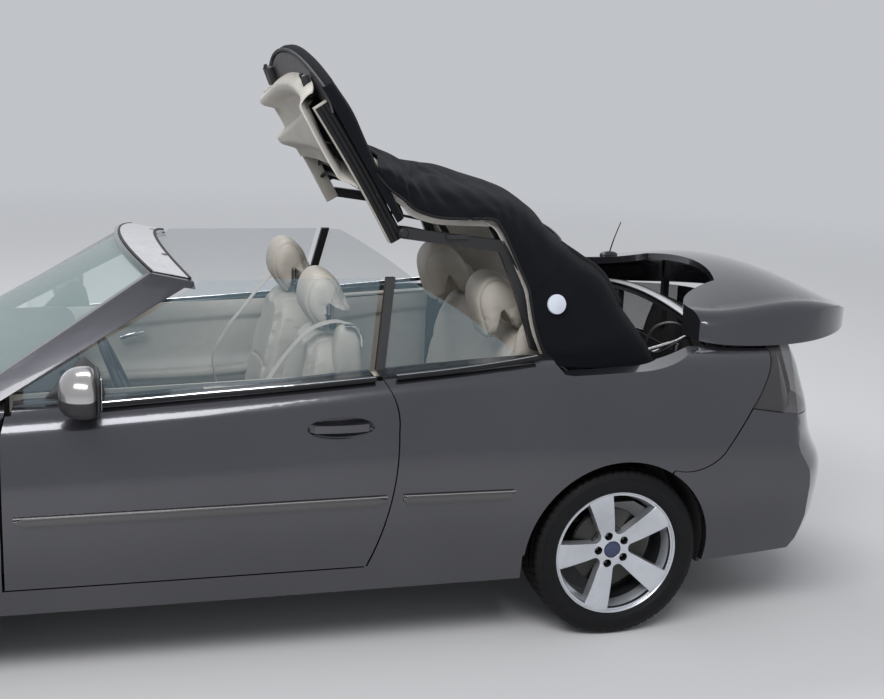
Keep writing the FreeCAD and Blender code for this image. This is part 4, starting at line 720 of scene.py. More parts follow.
# %% Tyre surface
def tyre_surface(x, y, out):
    """Radius is the profile's, less the groove depth where the angle falls in a cross groove."""
    profile = np.vstack([HALF_TYRE, HALF_TYRE[-2::-1] * (1, -1), TYRE_INSIDE])
    count = BLOCKS * STEPS
    a = np.arange(count) * 2 * np.pi / count
    step = (np.arange(count) % STEPS)[:, None]
    r = np.broadcast_to(profile[:, 0], (count, len(profile))).copy()
    w = profile[:, 1]
    from_middle = np.abs(w)
    tread = r > TREAD_RADIUS
    outer_rib = tread & (from_middle > 0.066)
    middle_rib = tread & (from_middle > 0.02) & (from_middle < 0.054)
    shoulder = (r > SHOULDER_RADIUS) & ~tread & (from_middle > 0.085)
    r = np.where(outer_rib & (step == 0), r - 0.006, r)
    r = np.where(shoulder & (step == 0), r - 0.003, r)
    r = np.where(middle_rib & (step == STEPS // 2), r - 0.004, r)
    px = x + r * np.cos(a)[:, None]
    pz = AXLE_HEIGHT + r * np.sin(a)[:, None]
    return np.stack([px, np.broadcast_to(y + out * w, r.shape), pz], axis=-1)


for key, (wx, wy) in WHEELS.items():
    grids = [(tyre_surface(wx, wy, math.copysign(1.0, wy)), True, True)]
    build("tyre_" + key + "_rubber", grids, TYRE, key + "_wheel", ["tyre_" + key],
          sharp=math.radians(40))
tell("tyres")

# %% [markdown]
# ## Sheets with a thickness
# Cloth and lining are surfaces given by a net of points, with a second skin a few millimetres
# under them. A mask says which squares of the net exist, so a window can be left out; every edge
# of the mask gets a narrow wall, and the sheet is closed.

# %% Nets of points
def net(control, rows, columns):
    """Catmull-Rom both ways through a net of control points."""
    control = np.asarray(control, float)
    along = np.stack([smooth_line(control[:, i], rows) for i in range(control.shape[1])], axis=1)
    return np.stack([smooth_line(row, columns) for row in along])


def normals(surface):
    """Unit normal at every point of a net: the cross product of its two directions."""
    n = np.cross(np.gradient(surface, axis=0), np.gradient(surface, axis=1))
    return n / np.maximum(np.linalg.norm(n, axis=-1), 1e-9)[..., None]


def shares(rows, columns, first=-1.0):
    """u from 0 to 1 down the rows, and v from first to 1 across the columns."""
    return np.meshgrid(np.linspace(0, 1, rows), np.linspace(first, 1, columns), indexing="ij")


def outside(hole):
    """Mask of the squares that a rectangle of marked points doesn't take out."""
    return ~(hole[:-1, :-1] & hole[1:, 1:])


# %% A slab from a net
def slab(surface, depth, mask=None):
    """Faces of both skins and the walls along the mask's edges, as points and lists of indices."""
    rows, columns = surface.shape[:2]
    under = surface - normals(surface) * depth
    mask = np.ones((rows - 1, columns - 1), bool) if mask is None else mask
    points = np.concatenate([surface.reshape(-1, 3), under.reshape(-1, 3)])
    below = rows * columns
    index = np.arange(below).reshape(rows, columns)
    r, c = np.nonzero(mask)
    corners = ((r, c), (r + 1, c), (r + 1, c + 1), (r, c + 1))
    top = np.stack([index[a, b] for a, b in corners], axis=1)
    faces = [top, (top + below)[:, ::-1]]
    padded = np.pad(mask, 1)
    for dr, dc, a, b in ((-1, 0, 3, 0), (1, 0, 1, 2), (0, -1, 0, 1), (0, 1, 2, 3)):
        edge = ~padded[r + 1 + dr, c + 1 + dc]
        first, second = top[edge, a], top[edge, b]
        faces.append(np.stack([second, first, first + below, second + below], axis=1))
    return points, np.concatenate(faces)


def sheet(name, surface, depth, material, body=None, replaces=(), mask=None):
    """A slab as a piece of its own."""
    points, faces = slab(surface, depth, mask)
    used, back = np.unique(faces, return_inverse=True)
    piece = link_mesh(name, points[used], back.reshape(faces.shape).tolist())
    return finish_piece(piece, material, body, replaces, sharp=math.radians(50))


# %% [markdown]
# ## Rear roof cloth
# The cloth leaves the front panel, spans the fold over the hinge, lies over the bows and runs
# down into the well. Each row of the table is one cross-section: hem, corner and crown. The
# cloth is not tight: `folds` adds long shallow waves, strongest over the hinge, where the half
# folded roof leaves it slack.

# %% Cross-sections of the cloth, in millimetres
CLOTH_ROWS = np.array([  # hem x, z, y; corner x, z, y; crown x, z
    (296, 1678, 608, 316, 1700, 580, 372, 1719), (345, 1622, 617, 362, 1682, 572, 430, 1702),
    (396, 1584, 624, 418, 1660, 560, 500, 1674), (440, 1548, 628, 468, 1636, 546, 563, 1643),
    (520, 1521, 628, 545, 1620, 534, 626, 1634), (620, 1515, 628, 650, 1602, 522, 720, 1620),
    (724, 1512, 629, 765, 1584, 512, 830, 1596), (760, 1476, 631, 850, 1553, 507, 905, 1572),
    (800, 1400, 634, 930, 1490, 517, 985, 1514), (858, 1280, 640, 1008, 1406, 535, 1062, 1436),
    (874, 1215, 648, 1098, 1344, 538, 1160, 1374), (886, 1150, 656, 1190, 1278, 532, 1252, 1302),
    (902, 1090, 664, 1282, 1140, 536, 1340, 1156), (926, 1030, 672, 1375, 1020, 540, 1420, 1030),
    (946, 985, 674, 1425, 935, 540, 1462, 940)]) / 1000.0


def cloth_control(inward=0.0, rows=CLOTH_ROWS):
    """Nine control points across each row, drawn in towards the cabin by the given amount."""
    out = []
    for hx, hz, hy, cx, cz, cy, tx, tz in rows:
        hem, corner, crown = np.array([hx, -hy, hz]), np.array([cx, -cy, cz]), np.array([tx, 0, tz])
        side = hem * 0.48 + corner * 0.52 + (0, -0.026, 0)
        top = corner * 0.2 + crown * 0.8
        top[1] = -cy * 0.55
        half = np.array([hem, side, corner, top])
        out.append(np.vstack([half, crown, mirror_y(half[::-1])]))
    out = np.array(out)
    return out - normals(out) * inward


# %% The cloth with its waves
def folds(surface, u, v):
    """Waves along the normal: slack over the hinge (small u), gentle over the bows."""
    side = np.abs(v)
    slack = 0.0075 * np.exp(-((u - 0.2) / 0.16) ** 2) + 0.0022
    wave = np.sin(u * 46 + 5 * side + 1.4 * np.sin(9 * v)) * 0.5
    wave = wave + np.sin(u * 21 - 7 * side + 2 * np.sin(5 * v + 1)) * 0.7
    wave = wave + 0.45 * np.sin(u * 95 + 14 * v + 2.0 * np.sin(6 * u + 4 * v))
    bow = 0.004 * np.exp(-((u - 0.665) / 0.018) ** 2) - 0.003 * np.exp(-((u - 0.61) / 0.02) ** 2)
    taper = np.clip((1 - side) / 0.12, 0, 1) ** 0.7
    return surface + normals(surface) * (slack * wave * taper + bow)[..., None]


def across_fold(piece):
    """Bakes the piece's placement into its own mesh."""
    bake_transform(piece)


ROWS, COLUMNS, CLOTH_THICK = 150, 120, 0.006
cloth_u, cloth_v = shares(ROWS, COLUMNS)
smooth_cover = net(cloth_control(), ROWS, COLUMNS)
cover = folds(smooth_cover, cloth_u, cloth_v)
window = (cloth_u > 0.655) & (cloth_u < 0.845) & (np.abs(cloth_v) < 0.44)
cloth_squares = outside(window)
roof_cloth = sheet("roof_cloth", cover, CLOTH_THICK, ROOF_CLOTH, None, ["roof_rear_cover"],
                   cloth_squares)
across_fold(roof_cloth)


down, over = cover[1:, :-1] - cover[:-1, :-1], cover[:-1, 1:] - cover[:-1, :-1]


# %% [markdown]
# ## Rear window and hems
# The rear window is a pane sewn into the cloth, with a rubber seal round it. It could be a flat
# plate, but the real pane bends with the roof, so it is read off the cloth's own net before the
# waves are added. The piped hems follow the cloth's two outer columns, so they stay on it.

# %% Rear window, its seal, and the cloth's piped hem
def pane_between(first_row, last_row, reach, sink, rows=14, columns=30):
    """Part of the cover between two shares of its length, within reach of its middle, sunk a
    little: each point is the blend of four neighbours by its distance from them."""
    at_u = np.linspace(first_row, last_row, rows) * (ROWS - 1)
    at_v = (np.linspace(-reach, reach, columns) + 1) / 2 * (COLUMNS - 1)
    i, j = np.minimum(at_u.astype(int), ROWS - 2), np.minimum(at_v.astype(int), COLUMNS - 2)
    a, b = (at_u - i)[:, None, None], (at_v - j)[None, :, None]
    grid = smooth_cover[i][:, j] * (1 - a) * (1 - b) + smooth_cover[i + 1][:, j] * a * (1 - b)
    grid = grid + smooth_cover[i][:, j + 1] * (1 - a) * b
    grid = grid + smooth_cover[i + 1][:, j + 1] * a * b
    return grid - normals(grid) * sink


sheet("rear_window_pane", pane_between(0.648, 0.852, 0.455, 0.008), 0.004, GLASS, "roof_rear",
      ["rear_window"])
seal = pane_between(0.655, 0.845, 0.44, -0.001)
loop = np.vstack([seal[0], seal[1:, -1], seal[-1, -2::-1], seal[-2:0:-1, 0]])
loop = np.vstack([loop, loop[:1]])
tube("rear_window_seal", loop, ring(0.020, 0.012, 10), RUBBER, "roof_rear", side=(0, 0, 1), smooth=180)
for side, column in (("left", 0), ("right", COLUMNS - 1)):
    across_fold(tube("roof_hem_" + side, cover[::2, column], ring(0.011, 0.011, 10), RUBBER, None,
                     side=(1, 0, 0)))
tell("rear roof")

# %% [markdown]
# ## Rear lining
# Inside the roof hangs a pale lining, loose between the bows. It could share the cloth's mesh,
# but it has waves of its own, so it is a second sheet from the same cross-sections, drawn inwards.

# %% Lining inside the rear roof
lining = net(cloth_control(0.030, CLOTH_ROWS[6:14]), 60, 80)
lining_u, lining_v = shares(60, 80)
quilting = 0.004 * np.sin(lining_u * 15 + 3 * np.abs(lining_v)) * np.sin(lining_v * 5 + 1)
lining = lining - normals(lining) * quilting[..., None]
hole = (lining_u > 0.42) & (lining_u < 0.86) & (np.abs(lining_v) < 0.43)
sheet("roof_lining_rear", lining, 0.006, LINING, "roof_rear", mask=outside(hole))
tell("rear lining")

# %% [markdown]
# ## Front roof panel
# The front half of the roof stands at 120.5 degrees on its hinge. Everything on it is laid out in
# the panel's own plane: `a` along it from the hinge, `up` square to it towards the cloth, and y
# across. Cloth wraps its outer side, a perforated plate closes the front edge, and the pale
# lining is a thick moulding with a scooped front half and a raised pad behind it.

# %% The panel's own coordinates
HINGE_X, HINGE_Z, LEAN = 0.406, 1.462, math.radians(120.5)
HALF_WIDTH, EDGE_MIDDLE, EDGE_SWEEP = 600.0, 677.8, 114.3


def panel(a, up, y):
    """Point of the front panel, in metres, from millimetres in the panel's plane."""
    a, up, y = (np.asarray(v, float) / 1000.0 for v in (a, up, y))
    x = HINGE_X + a * math.cos(LEAN) + up * math.sin(LEAN)
    z = HINGE_Z + a * math.sin(LEAN) - up * math.cos(LEAN)
    return np.stack(np.broadcast_arrays(x, y, z), axis=-1)


def front_edge(y):
    """Curved front edge: its middle's distance less the sweep times |y / half width| ^ 2.14."""
    return EDGE_MIDDLE - EDGE_SWEEP * np.abs(np.asarray(y) / HALF_WIDTH) ** 2.14


def step_up(x, edge, width):
    """0 before edge and 1 after it, by the cubic 3t^2 - 2t^3."""
    t = np.clip((np.asarray(x, float) - edge) / width + 0.5, 0, 1)
    return t * t * (3 - 2 * t)


def row_and_column(rows, columns):
    """u from 0 to 1 as a column, and v from -1 to 1 as a row."""
    return np.linspace(0, 1, rows)[:, None], np.linspace(-1, 1, columns)[None, :]


# %% Outer cloth: arched over the panel and turned round its sides and front edge
CLOTH_START, LIP_START = 48.0, 0.965


def panel_cloth(rows=90, columns=110):
    """Height is an arch across, a low ridge along and slack waves near the hinge; the sides turn
    down as (share past 0.86) ^ 1.8, and the last rows curl over the front edge."""
    u, v = row_and_column(rows, columns)
    turn = np.clip((np.abs(v) - 0.86) / 0.14, 0, 1)
    half = 604.0 - 22.0 * u
    y = np.sign(v) * half * (np.clip(np.abs(v) / 0.9, 0, 1) + 0.03 * np.sin(turn * np.pi / 2))
    y = np.clip(y, -half - 16, half + 16)
    lip = np.clip((u - LIP_START) / 0.035, 0, 1)
    reach = (front_edge(y) - CLOTH_START) * np.clip(u / LIP_START, 0, 1)
    a = CLOTH_START + reach + 6.0 * np.sin(lip * np.pi)
    arch = (26.0 + 46.0 * (1 - u)) * (1 - (y / 606.0) ** 2) + 22.0 + 10.0 * u
    arch = arch + 14.0 * np.exp(-((u - 0.72) / 0.2) ** 2)
    up = arch - (arch + 4.0) * turn ** 1.8 - 34.0 * lip * (1 - turn)
    slack = 3.0 * np.sin(u * 23 + 4 * v) * np.sin(v * 7 + 2 * u) * (1 - turn) * (1 - u) ** 1.5
    return panel(a, up + slack, y)


sheet("roof_front_cloth", panel_cloth(), 0.005, ROOF_CLOTH, "roof_front", ["roof_front_cover"])
edge_y = np.linspace(-596, 596, 90)
edge_line = panel(front_edge(edge_y) + 4, 2 + 24 * (1 - (edge_y / HALF_WIDTH) ** 2), edge_y)
tube("roof_front_edge_bead", edge_line, ring(0.013, 0.016, 12), RUBBER, "roof_front", side=(0, 0, 1))


# %% [markdown]
# ## Perforated plate
# The panel's front edge is closed by a moulded plate with small holes. They could be cut in the
# mesh, but each is only millimetres wide, so the finish sinks a small round in every cell of a
# scattered pattern instead and colours it near black, as painted shade inside the hole.

# %% Perforated plate under the front edge
def cap_grid(rows=26, columns=90):
    """A band behind the front edge, narrower at its ends, that curls up towards the edge."""
    u, v = row_and_column(rows, columns)
    y = 588.0 * v
    a = front_edge(y) - 6 - (1 - u) * (118 - 40 * np.abs(y / HALF_WIDTH) ** 2)
    up = 19.0 * (1 - (y / HALF_WIDTH) ** 2) - 4 - 12 * (1 - u) ** 1.5 + 8 * u ** 6
    return panel(a, up, y)


def perforated():
    """Moulded plate with small holes: a cell's distance below a limit is a hole, sunk and coloured near black
    as painted shade.
    """
    made = Finish("cap_plate", (0.083, 0.078, 0.085), 0.6)
    spots = made.cells(1.0, at=made.place((26.0, 26.0, 26.0)))
    painted_hole_shade = 1.0 - spots.above(0.13, 0.04)
    shade = made.mix(made.noise(30.0, 4.0), (0.07, 0.065, 0.072), (0.1, 0.094, 0.1))
    # Painted shade: each hole is coloured near black for the dark inside it.
    made.feed("Base Color", made.mix(painted_hole_shade, shade, (0.006, 0.006, 0.006)))
    made.bump(spots.above(0.15, 0.06) + made.noise(700.0) * 0.1, 0.002, 0.7)
    return made.material


sheet("roof_front_cap", cap_grid(), 0.006, perforated(), "roof_front")

# %% [markdown]
# ## Moulded lining
# The pale lining under the panel is one thick moulding. Its pad, scoop and lip could be separate
# pieces, but in a pressed part they flow into each other, so one formula gives the height of the
# whole surface.

# %% Moulded lining: scoop in front, raised pad behind, thick lip at the front
LINING_FRONT, TUCK_START = 575.0, 0.93


def lining_rise(a, y):
    """How far the lining stands towards the cabin, in millimetres: the higher of the lip and the
    pad, where the pad ends at a crease and has two slow waves in it."""
    front = LINING_FRONT - 30.0 * y / HALF_WIDTH - 50.0 * (y / HALF_WIDTH) ** 2
    crease = 446.0 - 0.2 * y
    lip = 46.0 * step_up(a, front - 46, 60)
    scoop = 10.0 - 12.0 * np.sin(np.clip((a - crease) / 150, 0, 1) * np.pi / 2)
    pad = 38.0 * (1 - step_up(a, crease, 26)) * step_up(a, 262 + 0.03 * y, 70)
    pad = pad * (1 - 0.25 * np.cos((y + 120) / 220.0))
    wave = 9.0 * np.sin((a - 270) / 60.0) * np.exp(-((y + 250) / 260) ** 2)
    pad = pad + wave * step_up(a, 300, 80) * (1 - step_up(a, crease, 30))
    return np.maximum(lip, scoop + pad)


def moulded_lining(rows=110, columns=110):
    """A shallow arch less the rise towards the cabin; its last rows tuck in under the lip."""
    u, v = row_and_column(rows, columns)
    y = 560.0 * v
    front = LINING_FRONT - 30.0 * v - 50.0 * v ** 2
    rear = 186.0 + 26.0 * np.abs(v) ** 3
    a = rear + (front - rear) * np.clip(u / TUCK_START, 0, 1)
    tuck = np.clip((u - TUCK_START) / 0.07, 0, 1)
    base = 30.0 * (1 - v ** 2) - 22.0 - 24.0 * np.abs(v) ** 8
    up = base - lining_rise(a, y) * (1 - 0.95 * tuck) + 12 * tuck
    return panel(a + 22.0 * np.sin(tuck * np.pi / 2) * (1 - 0.3 * tuck), up, y)


sheet("roof_front_lining", moulded_lining()[:, ::-1], 0.006, LINING, "roof_front",
      ["roof_front_frame"])
tell("front panel")


# %% [markdown]
# ## Rails, latches and links
# Seals and rails have the same section all along, so each is an outline carried along a line in
# the panel's plane. The two link rods on each side bridge the hinge.

# %% Side rails with three rubber ridges and a pale inner strip
def ridged(width=0.018, height=0.050):
    """Outline of the seal: flat inside, and three rounded ribs outside."""
    t = np.linspace(-1, 1, 25)
    out = width / 2 * (0.62 + 0.38 * np.abs(np.sin((t + 1) * 1.5 * np.pi)))
    outer = np.stack([out, t * height / 2], axis=1)
    inner = np.array([(-width / 2, height / 2), (-width / 2, -height / 2)])
    return np.vstack([outer, inner])


HINGE_BOSS = [(0.0, -0.018), (0.015, -0.018), (0.017, -0.014), (0.017, 0.010), (0.013, 0.014), (0.0, 0.014)]
run = np.linspace(0, 1, 40)
rail_a = -16.0 + 536.0 * run
rail_up = -28.0 - 4.0 * run + 6.0 * np.sin(run * np.pi)
for side, s in SIDES:
    tube("roof_front_seal_" + side, panel(rail_a, rail_up, s * (576.0 - 4 * run)), ridged() * (-s, 1), RUBBER,
         "roof_front", side=(0, -1, 0))
    tube("roof_front_rail_" + side, panel(rail_a + 6, rail_up - 3, s * (559.0 - 4 * run)),
         ring(0.022, 0.054, 14, 6), LINING, "roof_front", "trim")
    tube("roof_front_strip_" + side, panel(rail_a + 2, rail_up - 27, s * (568.0 - 4 * run)),
         ring(0.014, 0.006, 10, 3), TRIM, "roof_front", "trim")
    boss = revolved(HINGE_BOSS, (HINGE_X, s * 0.600, HINGE_Z), 24, s)
    build("roof_hinge_boss_" + side, [(boss, True, False)], DARK_METAL, "roof_front")


# %% Latches, link rods and cross rods
def plate(name, corners, thick, material, body):
    """Rounded plate through four corner points (metres): rings drawn in to its two middles, the
    far corners pulled in by the fourth power of their distance."""
    p = np.asarray(corners, float)
    mid, n = p.mean(0), np.cross(p[1] - p[0], p[3] - p[0])
    n /= np.linalg.norm(n)
    fine = even(np.vstack([p, p[:1]]), 41)[:-1]
    far = np.linalg.norm(fine - mid, axis=1) / np.linalg.norm(p - mid, axis=1).max()
    soft = fine + (mid - fine) * 0.05 * far[:, None] ** 4
    half, edge = thick / 2, thick / 3
    levels = ((0.0, half), (0.9, half), (1.0, edge), (1.0, -edge), (0.9, -half), (0.0, -half))
    return solid(name, np.stack([mid + (soft - mid) * k + n * h for k, h in levels]), material, body)


for side, s in SIDES:
    outer, inner = s * 440, s * 380
    latch = panel([540, 620, 612, 545], [-30, -18, -10, -24], [outer, outer, inner, inner])
    plate("roof_latch_" + side, latch, 0.03, BLACK_PLASTIC, "roof_front")
    hook = panel([596, 616, 626, 622], [-18, -26, -22, -14], np.full(4, (outer + inner) / 2))
    tube("roof_latch_hook_" + side, hook, ring(0.010, 0.010, 10), DARK_METAL, "roof_front", smooth=16)
LINKS = {"upper": (0.012, [(0.330, 1.548), (0.372, 1.528), (0.440, 1.512), (0.520, 1.498)]),
         "lower": (0.014, [(0.372, 1.478), (0.430, 1.474), (0.540, 1.452)])}
for side, s in SIDES:
    for name, (size, path) in LINKS.items():
        rod = tube("roof_link_" + name + "_" + side, [(x, s * 0.560, z) for x, z in path],
                   ring(size, size * 0.8, 10), DARK_METAL, None, smooth=24)
        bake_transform(rod)
cross = panel([96, 104, 104, 96], [-30, 6, 6, -30], [-560, -420, 420, 560])
tube("roof_front_cross_rod", cross, ring(0.016, 0.012, 10), DARK_METAL, "roof_front", side=(0, 0, 1),
     smooth=50)
bow = panel([150, 160, 160, 150], [-18, 12, 12, -18], [-580, -420, 420, 580])
tube("roof_front_bow", bow, ring(0.03, 0.012, 12, 4), DARK_METAL, "roof_front", side=(0, 0, 1), smooth=50)
tell("rails, latches and links")

# %% [markdown]
# ## Lining of the fold
# Between the two halves the lining hangs free, like the cloth over it. It is a sheet from the
# first cross-sections of the cloth, drawn inwards and lowered.

# %% Lining of the fold between the two halves
FOLD_ROWS = 7
fold_rows = CLOTH_ROWS[:FOLD_ROWS].copy()
fold_rows[:, 1] -= 0.036 * np.linspace(1.0, 0.4, FOLD_ROWS)
fold_rows[:, 2] -= 0.012
fold_lining = net(cloth_control(0.026, fold_rows), 50, 90)
fold_u, fold_v = shares(50, 90)
wave = 0.006 * np.sin(fold_u * 17 + 6 * np.abs(fold_v)) * np.sin(fold_v * 8 + 1)
fold_lining = fold_lining - normals(fold_lining) * wave[..., None]
across_fold(sheet("roof_lining_fold", fold_lining, 0.005, LINING, None))
tell("fold lining")

# %% [markdown]
# ## Seats
# Each cushion starts as a side profile carried across the seat, rounded towards both ends by a
# superellipse, a little smaller than the real one. Air pressure in a cloth simulation then fills
# it, and the sewn channels are pressed in along their lines afterwards.

# %% A side profile carried across
def loaf(profile, y0, y1, power=5.0, rows=40, columns=72, lean=None):
    """Closed side profile (x, z) from y0 to y1; scaled by (1 - |v|^p)^(1/p) to its centre."""
    loop = even(smooth_line(np.vstack([profile, profile[:1]]), 200), columns + 1)[:-1]
    centre = loop.mean(0)
    v = np.sin(np.linspace(-np.pi / 2, np.pi / 2, rows))
    scale = (1 - np.abs(v) ** power) ** (1 / power)
    y = (y0 + y1) / 2 + v * (y1 - y0) / 2
    x = centre[0] + (loop[None, :, 0] - centre[0]) * scale[:, None]
    z = centre[1] + (loop[None, :, 1] - centre[1]) * scale[:, None]
    grid = np.stack([x, np.broadcast_to(y[:, None], x.shape), z], axis=-1)
    return lean(grid) if lean else grid


# %% Reading, writing and settling a mesh
def mesh_points(mesh):
    """The vertices of a mesh as an array."""
    out = np.zeros(len(mesh.vertices) * 3, np.float32)
    mesh.vertices.foreach_get("co", out)
    return out.reshape(-1, 3).astype(float)


def move_points(mesh, points):
    """Puts the vertices of a mesh at the points of an array."""
    mesh.vertices.foreach_set("co", points.astype(np.float32).ravel())


def evaluated(piece):
    """A new mesh with the piece's modifiers worked out."""
    graph = bpy.context.evaluated_depsgraph_get()
    return bpy.data.meshes.new_from_object(piece.evaluated_get(graph))


def settle(piece):
    """Makes what the modifiers give the piece's own mesh."""
    mesh = evaluated(piece)
    piece.modifiers.clear()
    mesh.name = piece.name
    piece.data = mesh


# %% Air and seams
AIR_STEPS, AIR_PRESSURE = 20, 4.0
SEAM_DEPTH, SEAM_WIDTH = 0.0045, 0.006


def inflate(piece, voxel, cap):
    """Fills the cushion with air: even mesh, 20 steps of cloth, and no point moves past cap."""
    even_mesh = piece.modifiers.new("net", "REMESH")
    even_mesh.mode, even_mesh.voxel_size = "VOXEL", voxel
    settle(piece)
    start = mesh_points(piece.data)
    air = piece.modifiers.new("air", "CLOTH")
    air.settings.use_pressure = True
    air.settings.uniform_pressure_force = AIR_PRESSURE
    air.settings.effector_weights.gravity = 0.0
    for step in range(1, AIR_STEPS + 1):
        bpy.context.scene.frame_set(step)
    moved = mesh_points(evaluated(piece)) - start
    piece.modifiers.clear()
    length = np.linalg.norm(moved, axis=1)[:, None]
    move_points(piece.data, start + moved * np.minimum(1.0, cap / np.maximum(length, 1e-9)))
    bpy.context.scene.frame_set(1)
    fine = piece.modifiers.new("fine", "SUBSURF")
    fine.levels = fine.render_levels = 1
    settle(piece)


def press(piece, seams):
    """Pushes the surface in by a bell curve of each point's distance from the nearest seam."""
    points = mesh_points(piece.data)
    normal = np.zeros(len(points) * 3, np.float32)
    piece.data.vertices.foreach_get("normal", normal)
    sink = np.zeros(len(points))
    for seam in seams:
        sink = np.maximum(sink, np.exp(-(seam(points) / SEAM_WIDTH) ** 2))
    move_points(piece.data, points - normal.reshape(-1, 3) * sink[:, None] * SEAM_DEPTH)


def lengthwise(*offsets):
    """Seams along the car: the distance is |y - offset|."""
    return [lambda p, offset=offset: np.abs(p[:, 1] - offset) for offset in offsets]


# %% A whole cushion
def cushion(name, grid, voxel=0.010, cap=0.022, seams=(), replaces=(), twin=None):
    """Builds, inflates and sews one cushion; a twin is its mirror image on the other side."""
    pieces = [solid(name, grid, LEATHER, None)]
    inflate(pieces[0], voxel, cap)
    press(pieces[0], seams)
    if twin:
        mesh = pieces[0].data.copy()
        move_points(mesh, mirror_y(mesh_points(mesh)))
        mesh.flip_normals()
        pieces.append(bpy.data.objects.new(twin, mesh))
        COLLECTION.objects.link(pieces[1])
    for piece in pieces:
        finish_piece(piece, LEATHER, "body", replaces, False, math.radians(70))


# %% Front seats: side profiles (x, z)
SEAT_Y, HALF_SEAT = 0.370, 0.235
SEAT = -SEAT_Y
SEAT_PROFILE = np.array([(-0.300, 0.415), (-0.05, 0.40), (0.15, 0.405), (0.165, 0.475), (-0.02, 0.498),
                         (-0.20, 0.545), (-0.295, 0.535), (-0.318, 0.475)])
BACK_PROFILE = np.array([(0.045, 0.485), (0.15, 0.45), (0.198, 0.62), (0.222, 0.86), (0.238, 1.02),
                         (0.215, 1.088), (0.165, 1.106), (0.118, 1.085), (0.108, 1.00), (0.078, 0.86),
                         (0.040, 0.66)])
HEAD_PROFILE = np.array([(0.158, 1.072), (0.118, 1.122), (0.092, 1.165), (0.084, 1.205), (0.092, 1.252),
                         (0.114, 1.288), (0.142, 1.302), (0.172, 1.298), (0.205, 1.268), (0.232, 1.210),
                         (0.262, 1.152), (0.243, 1.144), (0.216, 1.172), (0.188, 1.202), (0.164, 1.196),
                         (0.154, 1.160), (0.160, 1.110)])


# %% Bolsters, hollows and cross seams of the front seats
def bolstered(grid):
    """Side bolsters stand forward of the middle: x shifts by the cube of the share across, less a
    hollow in the middle, and the top narrows."""
    out = grid.copy()
    x, y, z = np.moveaxis(grid, -1, 0)
    v = (y - SEAT) / HALF_SEAT
    front = np.clip((0.2 + (z - 0.45) * 0.16 + 0.02 - x) / 0.12, 0, 1)
    shift = 0.045 * np.abs(v) ** 3 - 0.012 * (1 - v ** 2)
    out[..., 0] -= front * shift * np.clip((1.12 - z) / 0.2, 0, 1)
    out[..., 1] = SEAT + (y - SEAT) * (1 - 0.22 * np.clip((z - 0.92) / 0.2, 0, 1) ** 2)
    return out


def dished(grid):
    """The cushion's top rises at its sides by the cube of the share across."""
    out = grid.copy()
    v = (grid[..., 1] - SEAT) / 0.24
    out[..., 2] += np.clip((grid[..., 2] - 0.44) / 0.06, 0, 1) * (0.034 * np.abs(v) ** 3 - 0.01)
    return out


def back_seam(p):
    """Seam across the back, between its bolsters: height above a slightly sloped line."""
    return np.abs(p[:, 2] - 0.80 - 0.2 * (p[:, 0] - 0.1)) + 9 * (np.abs(p[:, 1] - SEAT) > 0.145)


def seat_seam(p):
    """Seam across the cushion, between its bolsters."""
    return np.abs(p[:, 0] + 0.17) + 9 * (np.abs(p[:, 1] - SEAT) > 0.15)


# %% The six cushions of the front seats
cushion("front_seat_back_left", loaf(BACK_PROFILE, SEAT - 0.228, SEAT + 0.228, 6, lean=bolstered),
        seams=lengthwise(SEAT - 0.145, SEAT + 0.145) + [back_seam], replaces=["front_seats"],
        twin="front_seat_back_right")
cushion("front_seat_cushion_left", loaf(SEAT_PROFILE, SEAT - HALF_SEAT, SEAT + HALF_SEAT, 6, lean=dished),
        seams=lengthwise(SEAT - 0.150, SEAT + 0.150) + [seat_seam], twin="front_seat_cushion_right")
cushion("front_headrest_left", loaf(HEAD_PROFILE, SEAT - 0.128, SEAT + 0.128, 3.6, columns=110),
        voxel=0.007, cap=0.006, seams=lengthwise(SEAT - 0.098, SEAT + 0.098),
        twin="front_headrest_right")
tell("front seats")

# %% [markdown]
# ## Posts, belts and seat bases
# The belt comes out of a tower beside each front seat and runs down past the seat's outer side.
# Posts and straps are sections carried along a line, and the hard covers are side profiles
# carried across, as the cushions are, but without air.

# %% Headrest posts, belt towers and belts, seat bases and shields
POD = np.array([(0.176, 0.95), (0.268, 0.93), (0.270, 1.03), (0.258, 1.098), (0.232, 1.130), (0.200, 1.132),
                (0.180, 1.105), (0.168, 1.02)])
SHIELD = np.array([(-0.22, 0.38), (0.20, 0.38), (0.23, 0.47), (0.12, 0.52), (-0.20, 0.46)])
GUIDE = [(0.204, 0.600, 1.135), (0.240, 0.600, 1.131), (0.262, 0.600, 1.098), (0.266, 0.600, 1.062)]
STRAP = [(0.236, 0.556, 1.130), (0.180, 0.535, 1.138), (0.110, 0.510, 1.112), (0.052, 0.49, 1.055),
         (-0.015, 0.49, 0.97), (-0.075, 0.515, 0.88), (-0.125, 0.55, 0.74), (-0.06, 0.60, 0.50)]


def on_sides(points, s):
    """Points given for the right side, on side s of the car."""
    return np.asarray(points, float) * (1, s, 1)


